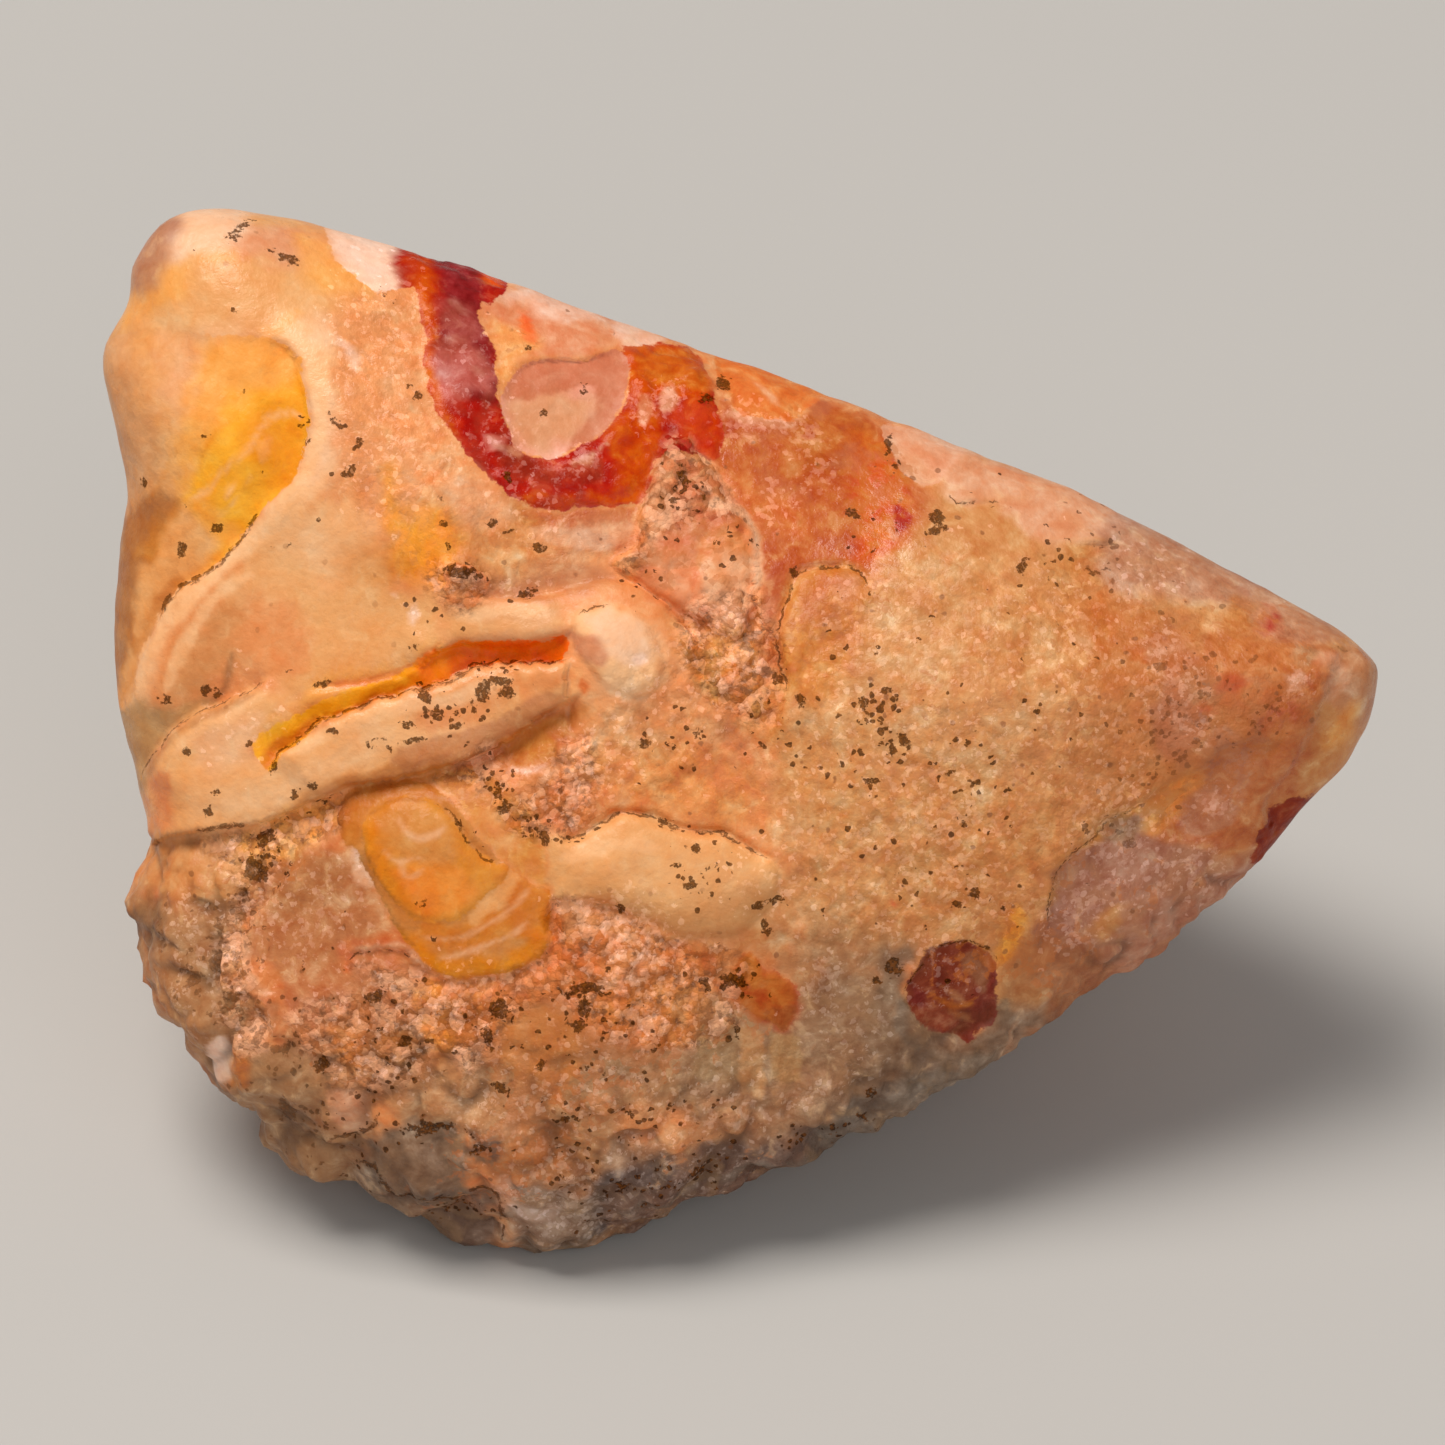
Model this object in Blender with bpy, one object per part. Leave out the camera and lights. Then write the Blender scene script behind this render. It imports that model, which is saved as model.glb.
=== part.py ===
"""Agate geode fragment: one solid stone that rests on a small flat spot.

The stone is shaped in a face frame in millimetres: u runs right across the face, v runs up it and w
stands out of it. The face then leans back, so that it looks forward (-Y) and up.
"""

import math

import bmesh
import bpy
import numpy as np
from mathutils import Vector, noise

MM = 0.001

# Where the face frame sits in the stone's own frame.
FACE_LEAN = math.radians(40)
FACE_CENTRE = (-3.85, -1.2, 15.6)

# Mesh.
START_DIVISIONS = 7
START_SHAPE = (25.0, 19.0, 13.0)
TRIANGLES = 9300
FLAT_SNAP = 0.14
PLACE_DIGITS = 4
CUT_TOLERANCE = 0.001 * MM
MERGE_DISTANCE = 0.02 * MM
SHARP_FROM = math.radians(35)

# Edge of the stone as seen square to its face, from the right tip round over the top.
OUTLINE = [
    (29.2, 2.0), (28.3, 3.3), (24.6, 5.2), (18.7, 8.3), (12.2, 11.0), (6.0, 13.5), (0.0, 15.5),
    (-5.7, 17.5), (-11.1, 19.1), (-15.8, 20.2), (-18.3, 19.9), (-19.5, 18.2), (-19.7, 16.5),
    (-20.7, 14.4), (-20.3, 11.8), (-19.8, 9.2), (-20.1, 6.9), (-20.3, 2.5), (-19.6, -2.0), (-19.0, -4.3),
    (-19.3, -8.0), (-18.5, -10.8), (-16.8, -13.0), (-14.8, -14.8), (-12.8, -16.0), (-10.4, -16.9),
    (-7.8, -18.0), (-5.2, -18.7), (-2.6, -19.2), (-0.5, -18.9), (1.6, -18.1), (5.2, -17.0), (8.6, -15.5),
    (11.9, -13.7), (15.2, -11.8), (17.0, -10.1), (20.2, -8.2), (23.5, -5.4), (25.8, -2.7), (27.6, -0.9),
]

# How the edge turns to the back, round the stone: angle, lean-in of the wall behind it, sharpness.
SIDES = [
    (-55, 0.60, 14), (-25, 0.50, 18), (5, 0.42, 12), (35, 0.58, 20), (80, 0.60, 24), (115, 0.50, 18),
    (140, 0.30, 10), (180, 0.15, 8), (220, 0.30, 8), (265, 0.55, 9),
]

# Body behind the outline.
FACE_RISE = 7.6
FACE_FLARE = 1.09
BACK_DEPTH = 20.5
BACK_FLARE = 1.22
BACK_SOFTENING = math.radians(22)
BACK_SHARPNESS = 10
# Broken planes of the back and the floor side: direction in the stone's frame, distance from the face centre.
BREAKS = [
    ((0.12, 0.97, -0.22), 17.6),
    ((-0.50, 0.86, -0.05), 19.6),
    ((0.72, 0.68, -0.10), 21.5),
    ((0.62, 0.25, -0.74), 20.6),
    ((-0.80, 0.25, -0.55), 20.6),
    ((0.0, 0.50, -0.87), 18.6),
    ((0.0, 0.0, -1.0), 16.9),
]

# Rounded lumps on the lower edge: u, v, w, radius.
LUMPS = [
    (-12.2, -14.8, 0.4, 2.50), (-6.8, -17.4, 0.2, 2.30), (-3.4, -17.4, 0.8, 2.80), (-8.2, -15.8, 1.4, 3.00),
    (-11.0, -13.8, 2.0, 2.30), (-14.9, -12.1, 0.8, 2.50), (-16.8, -9.0, 0.0, 2.70), (-16.4, -6.4, 1.0, 3.10),
    (-0.6, -16.4, 0.6, 2.60), (2.8, -15.2, 1.0, 2.70), (-5.7, -13.8, 2.8, 2.60),
]

# Ledges of the face: (line, rise, shoulder, fade, drop, reach of the drop).
# The high side is on the left of the line.
LEDGES = {
    "cream sheet": ([(-14.7, 15.3), (-13.8, 15.0), (-13.2, 14.0), (-12.9, 12.1), (-13.1, 10.4),
                     (-13.7, 9.4), (-15.2, 8.0), (-16.5, 6.3), (-17.9, 5.4), (-19.0, 3.8), (-19.7, 1.9),
                     (-20.2, 0.5)],
                    0.26, 1.2, 2.6, 0.24, 1.2),
    "second roll": ([(-14.2, 2.2), (-15.1, 1.5), (-16.0, 1.1), (-17.1, 0.7), (-18.1, 0.1), (-18.8, -0.7),
                     (-19.6, -2.2)],
                    0.35, 0.9, 2.2, 0.40, 1.2),
    "slab top": ([(-2.4, 2.6), (-4.7, 2.6), (-6.4, 2.5), (-7.8, 1.9), (-9.4, 1.3), (-11.5, 0.7),
                  (-13.0, -0.1), (-14.0, -0.8), (-14.6, -1.7)],
                 0.45, 0.5, 2.0, 0.50, 0.7),
    "slab foot": ([(-19.4, -4.6), (-17.5, -3.9), (-15.2, -3.7), (-13.2, -2.9), (-11.3, -2.2), (-9.3, -1.8),
                   (-7.0, -1.2), (-5.4, -0.5), (-3.9, 0.5), (-2.2, 1.4)],
                  0.20, 2.0, 2.6, 0.60, 1.3),
    "upper roll foot": ([(-8.9, 2.3), (-7.4, 3.2), (-6.4, 3.3), (-5.3, 3.2), (-3.9, 3.4), (-2.4, 4.1)],
                        0.40, 0.7, 1.2, 0.35, 0.6),
    "upper roll top": ([(3.6, 2.6), (1.9, 3.8), (1.0, 4.9), (-0.2, 5.6), (-1.4, 5.8), (-2.9, 5.4),
                        (-4.7, 5.1), (-6.6, 5.1), (-8.0, 4.6)],
                       0.22, 0.8, 1.6, 0.22, 0.8),
    "gloss fold": ([(-7.3, 3.8), (-7.9, 3.0), (-9.3, 2.2), (-10.9, 1.8), (-12.3, 1.6), (-13.2, 1.2)],
                   0.18, 0.5, 1.4, 0.12, 0.5),
    "crust lip": ([(4.6, 7.2), (4.4, 5.1), (5.3, 3.5), (5.7, 1.6), (5.1, -0.4)], 0.12, 0.4, 1.0, 0.25, 0.8),
    "lower crust lip": ([(-11.7, -9.1), (-11.2, -8.6), (-10.1, -8.5), (-9.1, -8.7), (-8.6, -9.3),
                         (-6.6, -9.7), (-5.0, -9.3), (-3.6, -8.5), (-3.4, -6.8), (-1.2, -6.7), (0.4, -7.8),
                         (2.3, -8.5)],
                        0.00, 0.4, 1.0, 0.22, 0.7),
    "grey curl": ([(-13.0, -5.1), (-14.7, -6.8), (-15.6, -8.9), (-14.7, -11.3), (-13.2, -12.3),
                   (-11.5, -12.9)],
                  0.16, 0.5, 1.2, 0.22, 0.8),
    "scale edge": ([(15.2, -9.0), (15.6, -7.8), (16.0, -6.4), (16.3, -5.3), (17.4, -4.4), (18.0, -3.6),
                    (19.6, -2.7), (21.4, -1.4)],
                   0.12, 0.3, 1.5, 0.32, 2.0),
    "lower facet": ([(19.8, -4.0), (20.7, -2.7), (21.8, -1.5), (23.3, -0.5), (25.3, -0.6)],
                    0.05, 0.4, 1.0, 0.30, 1.6),
    "tip facet": ([(25.0, -4.4), (24.4, -3.0), (25.4, -1.4), (26.4, 0.4), (26.9, 2.0), (27.6, 3.8)],
                  0.10, 0.5, 1.2, 0.35, 1.4),
}
LEDGE_END = 1.1

# Closed forms of the face: (edge line, height, shoulder). A negative height is a hollow.
PADS = {
    "eye": ([(-11.9, -3.6), (-11.3, -2.6), (-10.2, -2.0), (-8.8, -1.9), (-7.8, -2.4), (-6.6, -3.7),
             (-5.1, -5.4), (-3.6, -6.3), (-3.5, -8.2), (-3.8, -8.8), (-5.0, -9.2), (-6.6, -9.6),
             (-8.2, -9.3), (-9.3, -7.9), (-10.4, -6.0), (-11.2, -4.7)],
            0.20, 1.4),
    "long lobe": ([(-3.6, -4.2), (-2.4, -4.1), (-0.7, -3.2), (0.8, -3.5), (1.9, -4.0), (3.1, -4.0),
                   (5.3, -5.2), (5.5, -6.0), (5.0, -6.9), (3.7, -7.8), (1.9, -8.0), (0.4, -7.4),
                   (-1.2, -6.8), (-3.4, -6.6)],
                  0.50, 2.0),
    "nail lobe": ([(5.4, 3.3), (5.4, 4.3), (5.6, 4.9), (6.1, 6.0), (7.4, 6.3), (8.6, 6.1), (9.1, 5.2),
                   (8.6, 4.5), (7.8, 3.8), (6.5, 3.3), (6.0, 1.6)],
                  0.12, 0.8),
    "bump": ([(-2.7, 4.0), (-2.4, 4.6), (-1.6, 4.9), (-0.6, 4.8), (0.2, 4.4), (0.7, 3.6), (0.9, 2.5),
              (0.6, 1.6), (-0.2, 1.2), (-1.1, 1.6), (-1.9, 2.4), (-2.5, 3.1)],
             0.36, 1.3),
    "crust hump": ([(1.4, 11.5), (2.5, 10.8), (3.8, 9.0), (4.6, 7.2), (4.4, 5.1), (3.7, 3.5), (2.3, 4.2),
                    (1.0, 5.1), (0.0, 5.6), (-1.1, 6.4), (-0.1, 7.2), (0.1, 8.9), (0.6, 10.6)],
                   0.50, 0.8),
    "pocket": ([(-5.4, 12.6), (-5.2, 13.6), (-4.4, 14.2), (-2.5, 14.5), (-0.7, 14.7), (-0.5, 13.7),
                (-0.9, 12.5), (-1.9, 11.2), (-3.3, 10.5), (-4.6, 10.9)],
               -0.12, 0.4),
    "red knob": ([(10.3, -10.5), (10.8, -9.3), (11.4, -8.5), (12.5, -8.1), (13.7, -8.7), (13.4, -9.7),
                  (14.0, -10.7), (13.8, -11.3), (12.8, -12.1), (11.3, -11.7)],
                 -0.15, 0.4),
}

# Round bars of the face: (line, radius, height).
BARS = {
    "red hook": ([(-7.6, 19.0), (-7.4, 16.7), (-7.1, 14.8), (-6.8, 12.8), (-6.1, 11.1), (-4.9, 9.8),
                  (-3.0, 9.4), (-1.2, 9.8), (0.2, 10.8), (0.7, 12.3), (0.6, 14.6)],
                 1.50, 0.22),
}

# Narrow cracks: (line, half width, depth).
CRACKS = {
    "nail crack": ([(5.8, 1.2), (5.3, 3.1), (5.4, 4.3), (5.7, 5.1), (6.1, 6.0), (7.4, 6.3), (8.6, 6.1),
                    (9.1, 5.2)],
                   0.20, 0.22),
    "eye crack": ([(-8.4, -2.7), (-7.8, -3.0), (-6.7, -4.2), (-6.0, -4.9), (-5.2, -5.4)], 0.20, 0.22),
    "long lobe crack": ([(-3.6, -4.1), (-2.4, -4.1), (-1.6, -3.6), (-0.7, -3.2), (0.8, -3.6), (1.9, -4.0),
                         (3.1, -4.0), (5.3, -5.2)],
                        0.20, 0.24),
    "lump crack": ([(-10.4, -14.4), (-10.3, -15.1), (-10.7, -15.6), (-11.8, -15.9), (-12.5, -15.6)],
                   0.25, 0.30),
}

# Broad swells and dips: u, v, radius, height.
SWELLS = [
    (-17.0, 12.0, 4.5, 0.9), (-15.5, 18.2, 2.2, 0.5), (-9.5, 9.5, 4.5, 0.5), (-1.2, 3.0, 2.2, 0.8),
    (13.0, 1.0, 8.0, 1.1), (4.0, -0.5, 3.0, -0.5), (-14.5, -7.5, 3.6, -1.0), (-1.0, -11.0, 4.0, 0.3),
    (-7.0, 5.9, 1.0, 0.5), (5.0, -12.5, 3.6, -0.5), (24.5, 1.0, 3.0, 0.4), (20.0, -5.5, 2.5, -0.4),
    (8.0, 9.5, 3.0, -0.4), (-5.0, -0.7, 1.1, -0.4),
]

# Natural roughness: size and height of the waves, and of the grape-like lumps off the face.
WAVES = [(7.0, 0.55), (3.0, 0.28), (1.5, 0.12)]
GRAPE_SIZE = 4.2
GRAPE_HEIGHT = 0.75
GRAPE_FADE = (-6.0, 0.0)
FACE_WAVES = 0.4
RELIEF_FADE = (-4.5, 0.5)


def smooth_step(value, low, high):
    """0 below low, 1 above high and a soft rise between them."""
    share = np.clip((value - low) / (high - low), 0.0, 1.0)
    return share * share * (3.0 - 2.0 * share)


def smooth_curve(points, closed=False, steps=5):
    """Curve through hand-set points, with a few short steps between each two."""
    points = np.array(points, dtype=float)
    if closed:
        padded = np.vstack([points[-1:], points, points[:2]])
    else:
        padded = np.vstack([points[:1], points, points[-1:]])
    neighbours = (padded[:-3], padded[1:-2], padded[2:-1], padded[3:])
    before, start, end, after = (item[:, None] for item in neighbours)
    share = (np.arange(steps) / steps)[None, :, None]
    curve = 0.5 * (2.0 * start + (end - before) * share
                   + (2.0 * before - 5.0 * start + 4.0 * end - after) * share ** 2
                   + (3.0 * start - before - 3.0 * end + after) * share ** 3)
    last = points[:1] if closed else points[-1:]
    return np.vstack([curve.reshape(-1, 2), last])


def line_field(curve, u, v):
    """Distance to a curve, the side (+1 on its left) and the length run along it, for every point."""
    gap = np.full(u.shape, np.inf)
    side = np.ones(u.shape)
    along = np.zeros(u.shape)
    run = 0.0
    for (u0, v0), (u1, v1) in zip(curve[:-1], curve[1:]):
        du, dv = u1 - u0, v1 - v0
        length = math.hypot(du, dv)
        share = np.clip(((u - u0) * du + (v - v0) * dv) / length ** 2, 0.0, 1.0)
        away_u, away_v = u - u0 - share * du, v - v0 - share * dv
        distance = np.hypot(away_u, away_v)
        nearer = distance < gap
        gap = np.where(nearer, distance, gap)
        side = np.where(nearer, np.where(du * away_v - dv * away_u >= 0.0, 1.0, -1.0), side)
        along = np.where(nearer, run + share * length, along)
        run += length
    ends = smooth_step(np.minimum(along, run - along), 0.0, LEDGE_END)
    return gap, side, ends


def inside_depth(points, u, v):
    """Depth inside a closed line, found by counting crossings, and 0 outside it."""
    curve = smooth_curve(points, closed=True)
    inside = np.zeros(u.shape, dtype=bool)
    for (u0, v0), (u1, v1) in zip(curve[:-1], curve[1:]):
        if v0 != v1:
            crossed = (v0 > v) != (v1 > v)
            inside ^= crossed & (u < u0 + (v - v0) * (u1 - u0) / (v1 - v0))
    return np.where(inside, line_field(curve, u, v)[0], 0.0)


def shoulder(depth, size):
    """Quarter-round rise from 0 at an edge to 1 at the given depth."""
    share = np.clip(depth / size, 0.0, 1.0)
    return np.sqrt(1.0 - (1.0 - share) ** 2)


def face_relief(u, v):
    """Height of the face's ledges, lobes, bars and cracks over its smooth dome."""
    height = np.zeros(u.shape)
    for u0, v0, radius, rise in SWELLS:
        height += rise * np.exp(-((u - u0) ** 2 + (v - v0) ** 2) / radius ** 2)
    for line, rise, round_size, fade, drop, drop_reach in LEDGES.values():
        gap, side, ends = line_field(smooth_curve(line), u, v)
        high = rise * shoulder(gap, round_size) * np.exp(-(gap / fade) ** 2)
        low = -drop * np.exp(-(gap / drop_reach) ** 2)
        height += np.where(side > 0.0, high, low) * ends
    for line, rise, round_size in PADS.values():
        height += rise * shoulder(inside_depth(line, u, v), round_size)
    for line, radius, rise in BARS.values():
        gap, _, ends = line_field(smooth_curve(line), u, v)
        height += rise * np.sqrt(np.clip(1.0 - (gap / radius) ** 2, 0.0, 1.0)) * ends
    for line, half_width, depth in CRACKS.values():
        gap, _, ends = line_field(smooth_curve(line), u, v)
        height -= depth * np.exp(-(gap / half_width) ** 2) * ends
    return height


def to_stone(points):
    """Face-frame points turned and moved to the stone's own frame, in mm."""
    u, v, w = points.T
    x = u + FACE_CENTRE[0]
    y = v * math.sin(FACE_LEAN) - w * math.cos(FACE_LEAN) + FACE_CENTRE[1]
    z = v * math.cos(FACE_LEAN) + w * math.sin(FACE_LEAN) + FACE_CENTRE[2]
    return np.column_stack([x, y, z])


def to_face(direction):
    """A direction of the stone's own frame, read in the face frame."""
    x, y, z = np.array(direction) / np.linalg.norm(direction)
    v = y * math.sin(FACE_LEAN) + z * math.cos(FACE_LEAN)
    w = z * math.sin(FACE_LEAN) - y * math.cos(FACE_LEAN)
    return np.array([x, v, w])


def round_the_stone(angle, angles, values):
    """A value given at a few angles, read at any angle."""
    order = np.argsort(angles)
    return np.interp(angle, np.array(angles)[order], np.array(values)[order], period=2.0 * math.pi)


def softened(outline):
    """The outline with its corners evened out, as the back has it."""
    grid = np.radians(np.arange(0, 360, 5))
    lengths = round_the_stone(grid, *outline)
    apart = np.angle(np.exp(1j * (grid[:, None] - grid[None, :])))
    weights = np.exp(-(apart / BACK_SOFTENING) ** 2)
    return grid, weights @ lengths / weights.sum(axis=1)


def body_reach(directions, outline):
    """Distance from the face centre to the bare body, along each direction."""
    across, up, out = directions.T
    level = np.hypot(across, up)
    angle = np.arctan2(up, across)
    edge = round_the_stone(angle, *outline)
    side_angles = [math.radians(row[0]) % (2.0 * math.pi) for row in SIDES]
    lean_in = round_the_stone(angle, side_angles, [row[1] for row in SIDES])
    sharpness = round_the_stone(angle, side_angles, [row[2] for row in SIDES])
    face = np.hypot(level / (edge * FACE_FLARE), np.maximum(out, 0.0) / FACE_RISE)
    wall = np.maximum(level - out * lean_in, 0.0) / edge
    front = (face ** sharpness + wall ** sharpness) ** (1.0 / sharpness)
    back_edge = round_the_stone(angle, *softened(outline)) * BACK_FLARE
    back = np.hypot(level / back_edge, np.minimum(out, 0.0) / BACK_DEPTH)
    total = front ** BACK_SHARPNESS + back ** BACK_SHARPNESS
    for direction, distance in BREAKS:
        total += (np.maximum(directions @ to_face(direction), 0.0) / distance) ** BACK_SHARPNESS
    return total ** (-1.0 / BACK_SHARPNESS)


def fitted_outline():
    """Outline angles and lengths, let out until the rounded body reaches the drawn edge."""
    curve = smooth_curve(OUTLINE, closed=True)[:-1]
    angles = np.arctan2(curve[:, 1], curve[:, 0])
    drawn = np.hypot(curve[:, 0], curve[:, 1])
    lengths = drawn.copy()
    rises = np.radians(np.arange(-50, 51, 2))
    for _ in range(3):
        reached = np.zeros(angles.shape)
        for rise in rises:
            level = math.cos(rise)
            rays = np.column_stack([level * np.cos(angles), level * np.sin(angles),
                                    np.full(angles.shape, math.sin(rise))])
            reached = np.maximum(reached, body_reach(rays, (angles, lengths)) * level)
        lengths *= drawn / reached
    return angles, lengths


def lump_reach(directions):
    """Distance along each direction to the far side of the outermost lump, 0 where it meets none."""
    reach = np.zeros(len(directions))
    for *centre, radius in LUMPS:
        middle = directions @ np.array(centre)
        inner = middle ** 2 - np.dot(centre, centre) + radius ** 2
        hit = (inner > 0.0) & (middle > 0.0)
        reach = np.where(hit, np.maximum(reach, middle + np.sqrt(np.maximum(inner, 0.0))), reach)
    return reach


def roughness(points):
    """Waves all over, and grape-like lumps on what is not the face."""
    waves = np.zeros(len(points))
    grapes = np.zeros(len(points))
    for index, point in enumerate(points):
        place = Vector(point)
        waves[index] = sum(rise * noise.noise(place / size) for size, rise in WAVES)
        grapes[index] = GRAPE_HEIGHT * (0.5 - noise.voronoi(place / GRAPE_SIZE)[0][0] ** 2)
    off_face = 1.0 - smooth_step(points[:, 2], *GRAPE_FADE)
    return waves * (FACE_WAVES + (1.0 - FACE_WAVES) * off_face) + grapes * off_face


def stone_points(directions):
    """Finished surface points in the stone's own frame, in mm, one along each direction."""
    reach = np.maximum(body_reach(directions, fitted_outline()), lump_reach(directions))
    points = directions * reach[:, None]
    points += directions * roughness(points)[:, None]
    u, v, w = points.T
    points[:, 2] += face_relief(u, v) * smooth_step(w, *RELIEF_FADE)
    return to_stone(points)


def sphere_directions():
    """A sphere of even small triangles, stretched so that the stone's triangles come out even."""
    shape = bmesh.new()
    bmesh.ops.create_icosphere(shape, subdivisions=START_DIVISIONS, radius=1.0)
    mesh = bpy.data.meshes.new("agate_fine")
    shape.to_mesh(mesh)
    shape.free()
    directions = np.array([vertex.co for vertex in mesh.vertices]) * START_SHAPE
    return mesh, directions / np.linalg.norm(directions, axis=1)[:, None]


def stone_material():
    """Waxy chalcedony, warm peach with a soft shine."""
    material = bpy.data.materials.new("chalcedony")
    material.use_nodes = True
    shader = material.node_tree.nodes["Principled BSDF"]
    shader.inputs["Base Color"].default_value = (0.72, 0.40, 0.22, 1.0)
    shader.inputs["Roughness"].default_value = 0.38
    shader.inputs["Metallic"].default_value = 0.0
    return material


def thinned(stone):
    """The stone's mesh with few triangles where it is smooth and more where it is rough."""
    decimate = stone.modifiers.new("few_triangles", "DECIMATE")
    decimate.ratio = TRIANGLES / len(stone.data.polygons)
    scene_state = bpy.context.evaluated_depsgraph_get()
    shape = bmesh.new()
    shape.from_mesh(stone.evaluated_get(scene_state).to_mesh())
    stone.modifiers.remove(decimate)
    return shape


def cut_flat(shape):
    """Cuts the small flat spot that the stone rests on."""
    for vertex in shape.verts:
        if abs(vertex.co.z) < FLAT_SNAP * MM:
            vertex.co.z = 0.0
    parts = shape.verts[:] + shape.edges[:] + shape.faces[:]
    bmesh.ops.bisect_plane(shape, geom=parts, dist=CUT_TOLERANCE, plane_co=(0, 0, 0), plane_no=(0, 0, 1),
                           clear_inner=True)
    rim = [edge for edge in shape.edges if edge.is_boundary]
    bmesh.ops.holes_fill(shape, edges=rim, sides=0)
    bmesh.ops.remove_doubles(shape, verts=shape.verts[:], dist=MERGE_DISTANCE)
    bmesh.ops.triangulate(shape, faces=shape.faces[:])
    bmesh.ops.recalc_face_normals(shape, faces=shape.faces[:])


def build():
    for old in list(bpy.data.objects):
        bpy.data.objects.remove(old, do_unlink=True)
    mesh, directions = sphere_directions()
    places = np.round(stone_points(directions), PLACE_DIGITS) * MM
    mesh.vertices.foreach_set("co", places.ravel())
    stone = bpy.data.objects.new("agate", mesh)
    bpy.context.scene.collection.objects.link(stone)
    shape = thinned(stone)
    cut_flat(shape)
    finished = bpy.data.meshes.new("agate")
    shape.to_mesh(finished)
    shape.free()
    finished.materials.append(stone_material())
    stone.data = finished
    finished.shade_smooth()
    finished.set_sharp_from_angle(angle=SHARP_FROM)


build()
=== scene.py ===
import math

import bmesh
import bpy
import numpy as np
from mathutils import Matrix, Vector, noise


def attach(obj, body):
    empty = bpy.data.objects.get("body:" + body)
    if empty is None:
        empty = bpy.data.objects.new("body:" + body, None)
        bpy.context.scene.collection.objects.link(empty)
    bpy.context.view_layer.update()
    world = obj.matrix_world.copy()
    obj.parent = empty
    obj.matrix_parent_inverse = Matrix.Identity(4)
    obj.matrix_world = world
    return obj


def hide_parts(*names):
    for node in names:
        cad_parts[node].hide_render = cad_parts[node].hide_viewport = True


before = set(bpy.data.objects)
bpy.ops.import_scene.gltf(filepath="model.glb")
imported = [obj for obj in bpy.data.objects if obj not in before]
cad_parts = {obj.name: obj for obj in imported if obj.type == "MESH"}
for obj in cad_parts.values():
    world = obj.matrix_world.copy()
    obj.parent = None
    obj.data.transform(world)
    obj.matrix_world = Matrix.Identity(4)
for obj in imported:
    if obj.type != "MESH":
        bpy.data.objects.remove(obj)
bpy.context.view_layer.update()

# Agate geode fragment: the fine surface and colours of one stone, shown on a pale floor in soft light.
#
# The stone is shaped in a face frame in millimetres, as its solid is: u runs right across the face, v runs
# up it and w stands out of it. What lies on the face is drawn in pixels of a 1445 x 1445 picture.

MM = 0.001

# Frame of the face and of the picture

FACE_LEAN = math.radians(40)
FACE_CENTRE = np.array((-3.85, -1.2, 15.6))
FACE_RIGHT = np.array((1.0, 0.0, 0.0))
FACE_UP = np.array((0.0, math.sin(FACE_LEAN), math.cos(FACE_LEAN)))
FACE_OUT = np.array((0.0, -math.cos(FACE_LEAN), math.sin(FACE_LEAN)))

PICTURE_SIDE = 1445
PICTURE_MIDDLE = PICTURE_SIDE / 2
FACE_PIXEL = (640.0, 730.0)
PIXELS_PER_MM = 25.7
CAMERA_DISTANCE = 350.0
SENSOR = 36.0

# The stone's form, in mm, as its solid has it, on a finer ball

START_SHAPE = (25.0, 19.0, 13.0)
START_DIVISIONS = 7
FINE_FROM = 0.06

OUTLINE = [
    (29.2, 2.0), (28.3, 3.3), (24.6, 5.2), (18.7, 8.3), (12.2, 11.0), (6.0, 13.5), (0.0, 15.5),
    (-5.7, 17.5), (-11.1, 19.1), (-15.8, 20.2), (-18.3, 19.9), (-19.5, 18.2), (-19.7, 16.5), (-20.7, 14.4),
    (-20.3, 11.8), (-19.8, 9.2), (-20.1, 6.9), (-20.3, 2.5), (-19.6, -2.0), (-19.0, -4.3), (-19.3, -8.0),
    (-18.5, -10.8), (-16.8, -13.0), (-14.8, -14.8), (-12.8, -16.0), (-10.4, -16.9), (-7.8, -18.0),
    (-5.2, -18.7), (-2.6, -19.2), (-0.5, -18.9), (1.6, -18.1), (5.2, -17.0), (8.6, -15.5), (11.9, -13.7),
    (15.2, -11.8), (17.0, -10.1), (20.2, -8.2), (23.5, -5.4), (25.8, -2.7), (27.6, -0.9),
]

# How the edge turns to the back, round the stone: angle, lean-in of the wall behind it, sharpness.
SIDES = [
    (-55, 0.60, 14), (-25, 0.50, 18), (5, 0.42, 12), (35, 0.58, 20), (80, 0.60, 24), (115, 0.50, 18),
    (140, 0.30, 10), (180, 0.15, 8), (220, 0.30, 8), (265, 0.55, 9),
]

FACE_RISE = 7.6
FACE_FLARE = 1.09
BACK_DEPTH = 20.5
BACK_FLARE = 1.22
BACK_SOFTENING = math.radians(22)
BACK_SHARPNESS = 10
BREAKS = [
    ((0.12, 0.97, -0.22), 17.6), ((-0.50, 0.86, -0.05), 19.6), ((0.72, 0.68, -0.10), 21.5),
    ((0.62, 0.25, -0.74), 20.6), ((-0.80, 0.25, -0.55), 20.6), ((0.0, 0.50, -0.87), 18.6),
    ((0.0, 0.0, -1.0), 16.9),
]

# Rounded lumps on the lower edge: u, v, w, radius.
LUMPS = [
    (-12.2, -14.8, 0.4, 2.50), (-6.8, -17.4, 0.2, 2.30), (-3.4, -17.4, 0.8, 2.80), (-8.2, -15.8, 1.4, 3.00),
    (-11.0, -13.8, 2.0, 2.30), (-14.9, -12.1, 0.8, 2.50), (-16.8, -9.0, 0.0, 2.70),
    (-16.4, -6.4, 1.0, 3.10), (-0.6, -16.4, 0.6, 2.60), (2.8, -15.2, 1.0, 2.70), (-5.7, -13.8, 2.8, 2.60),
]

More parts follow.
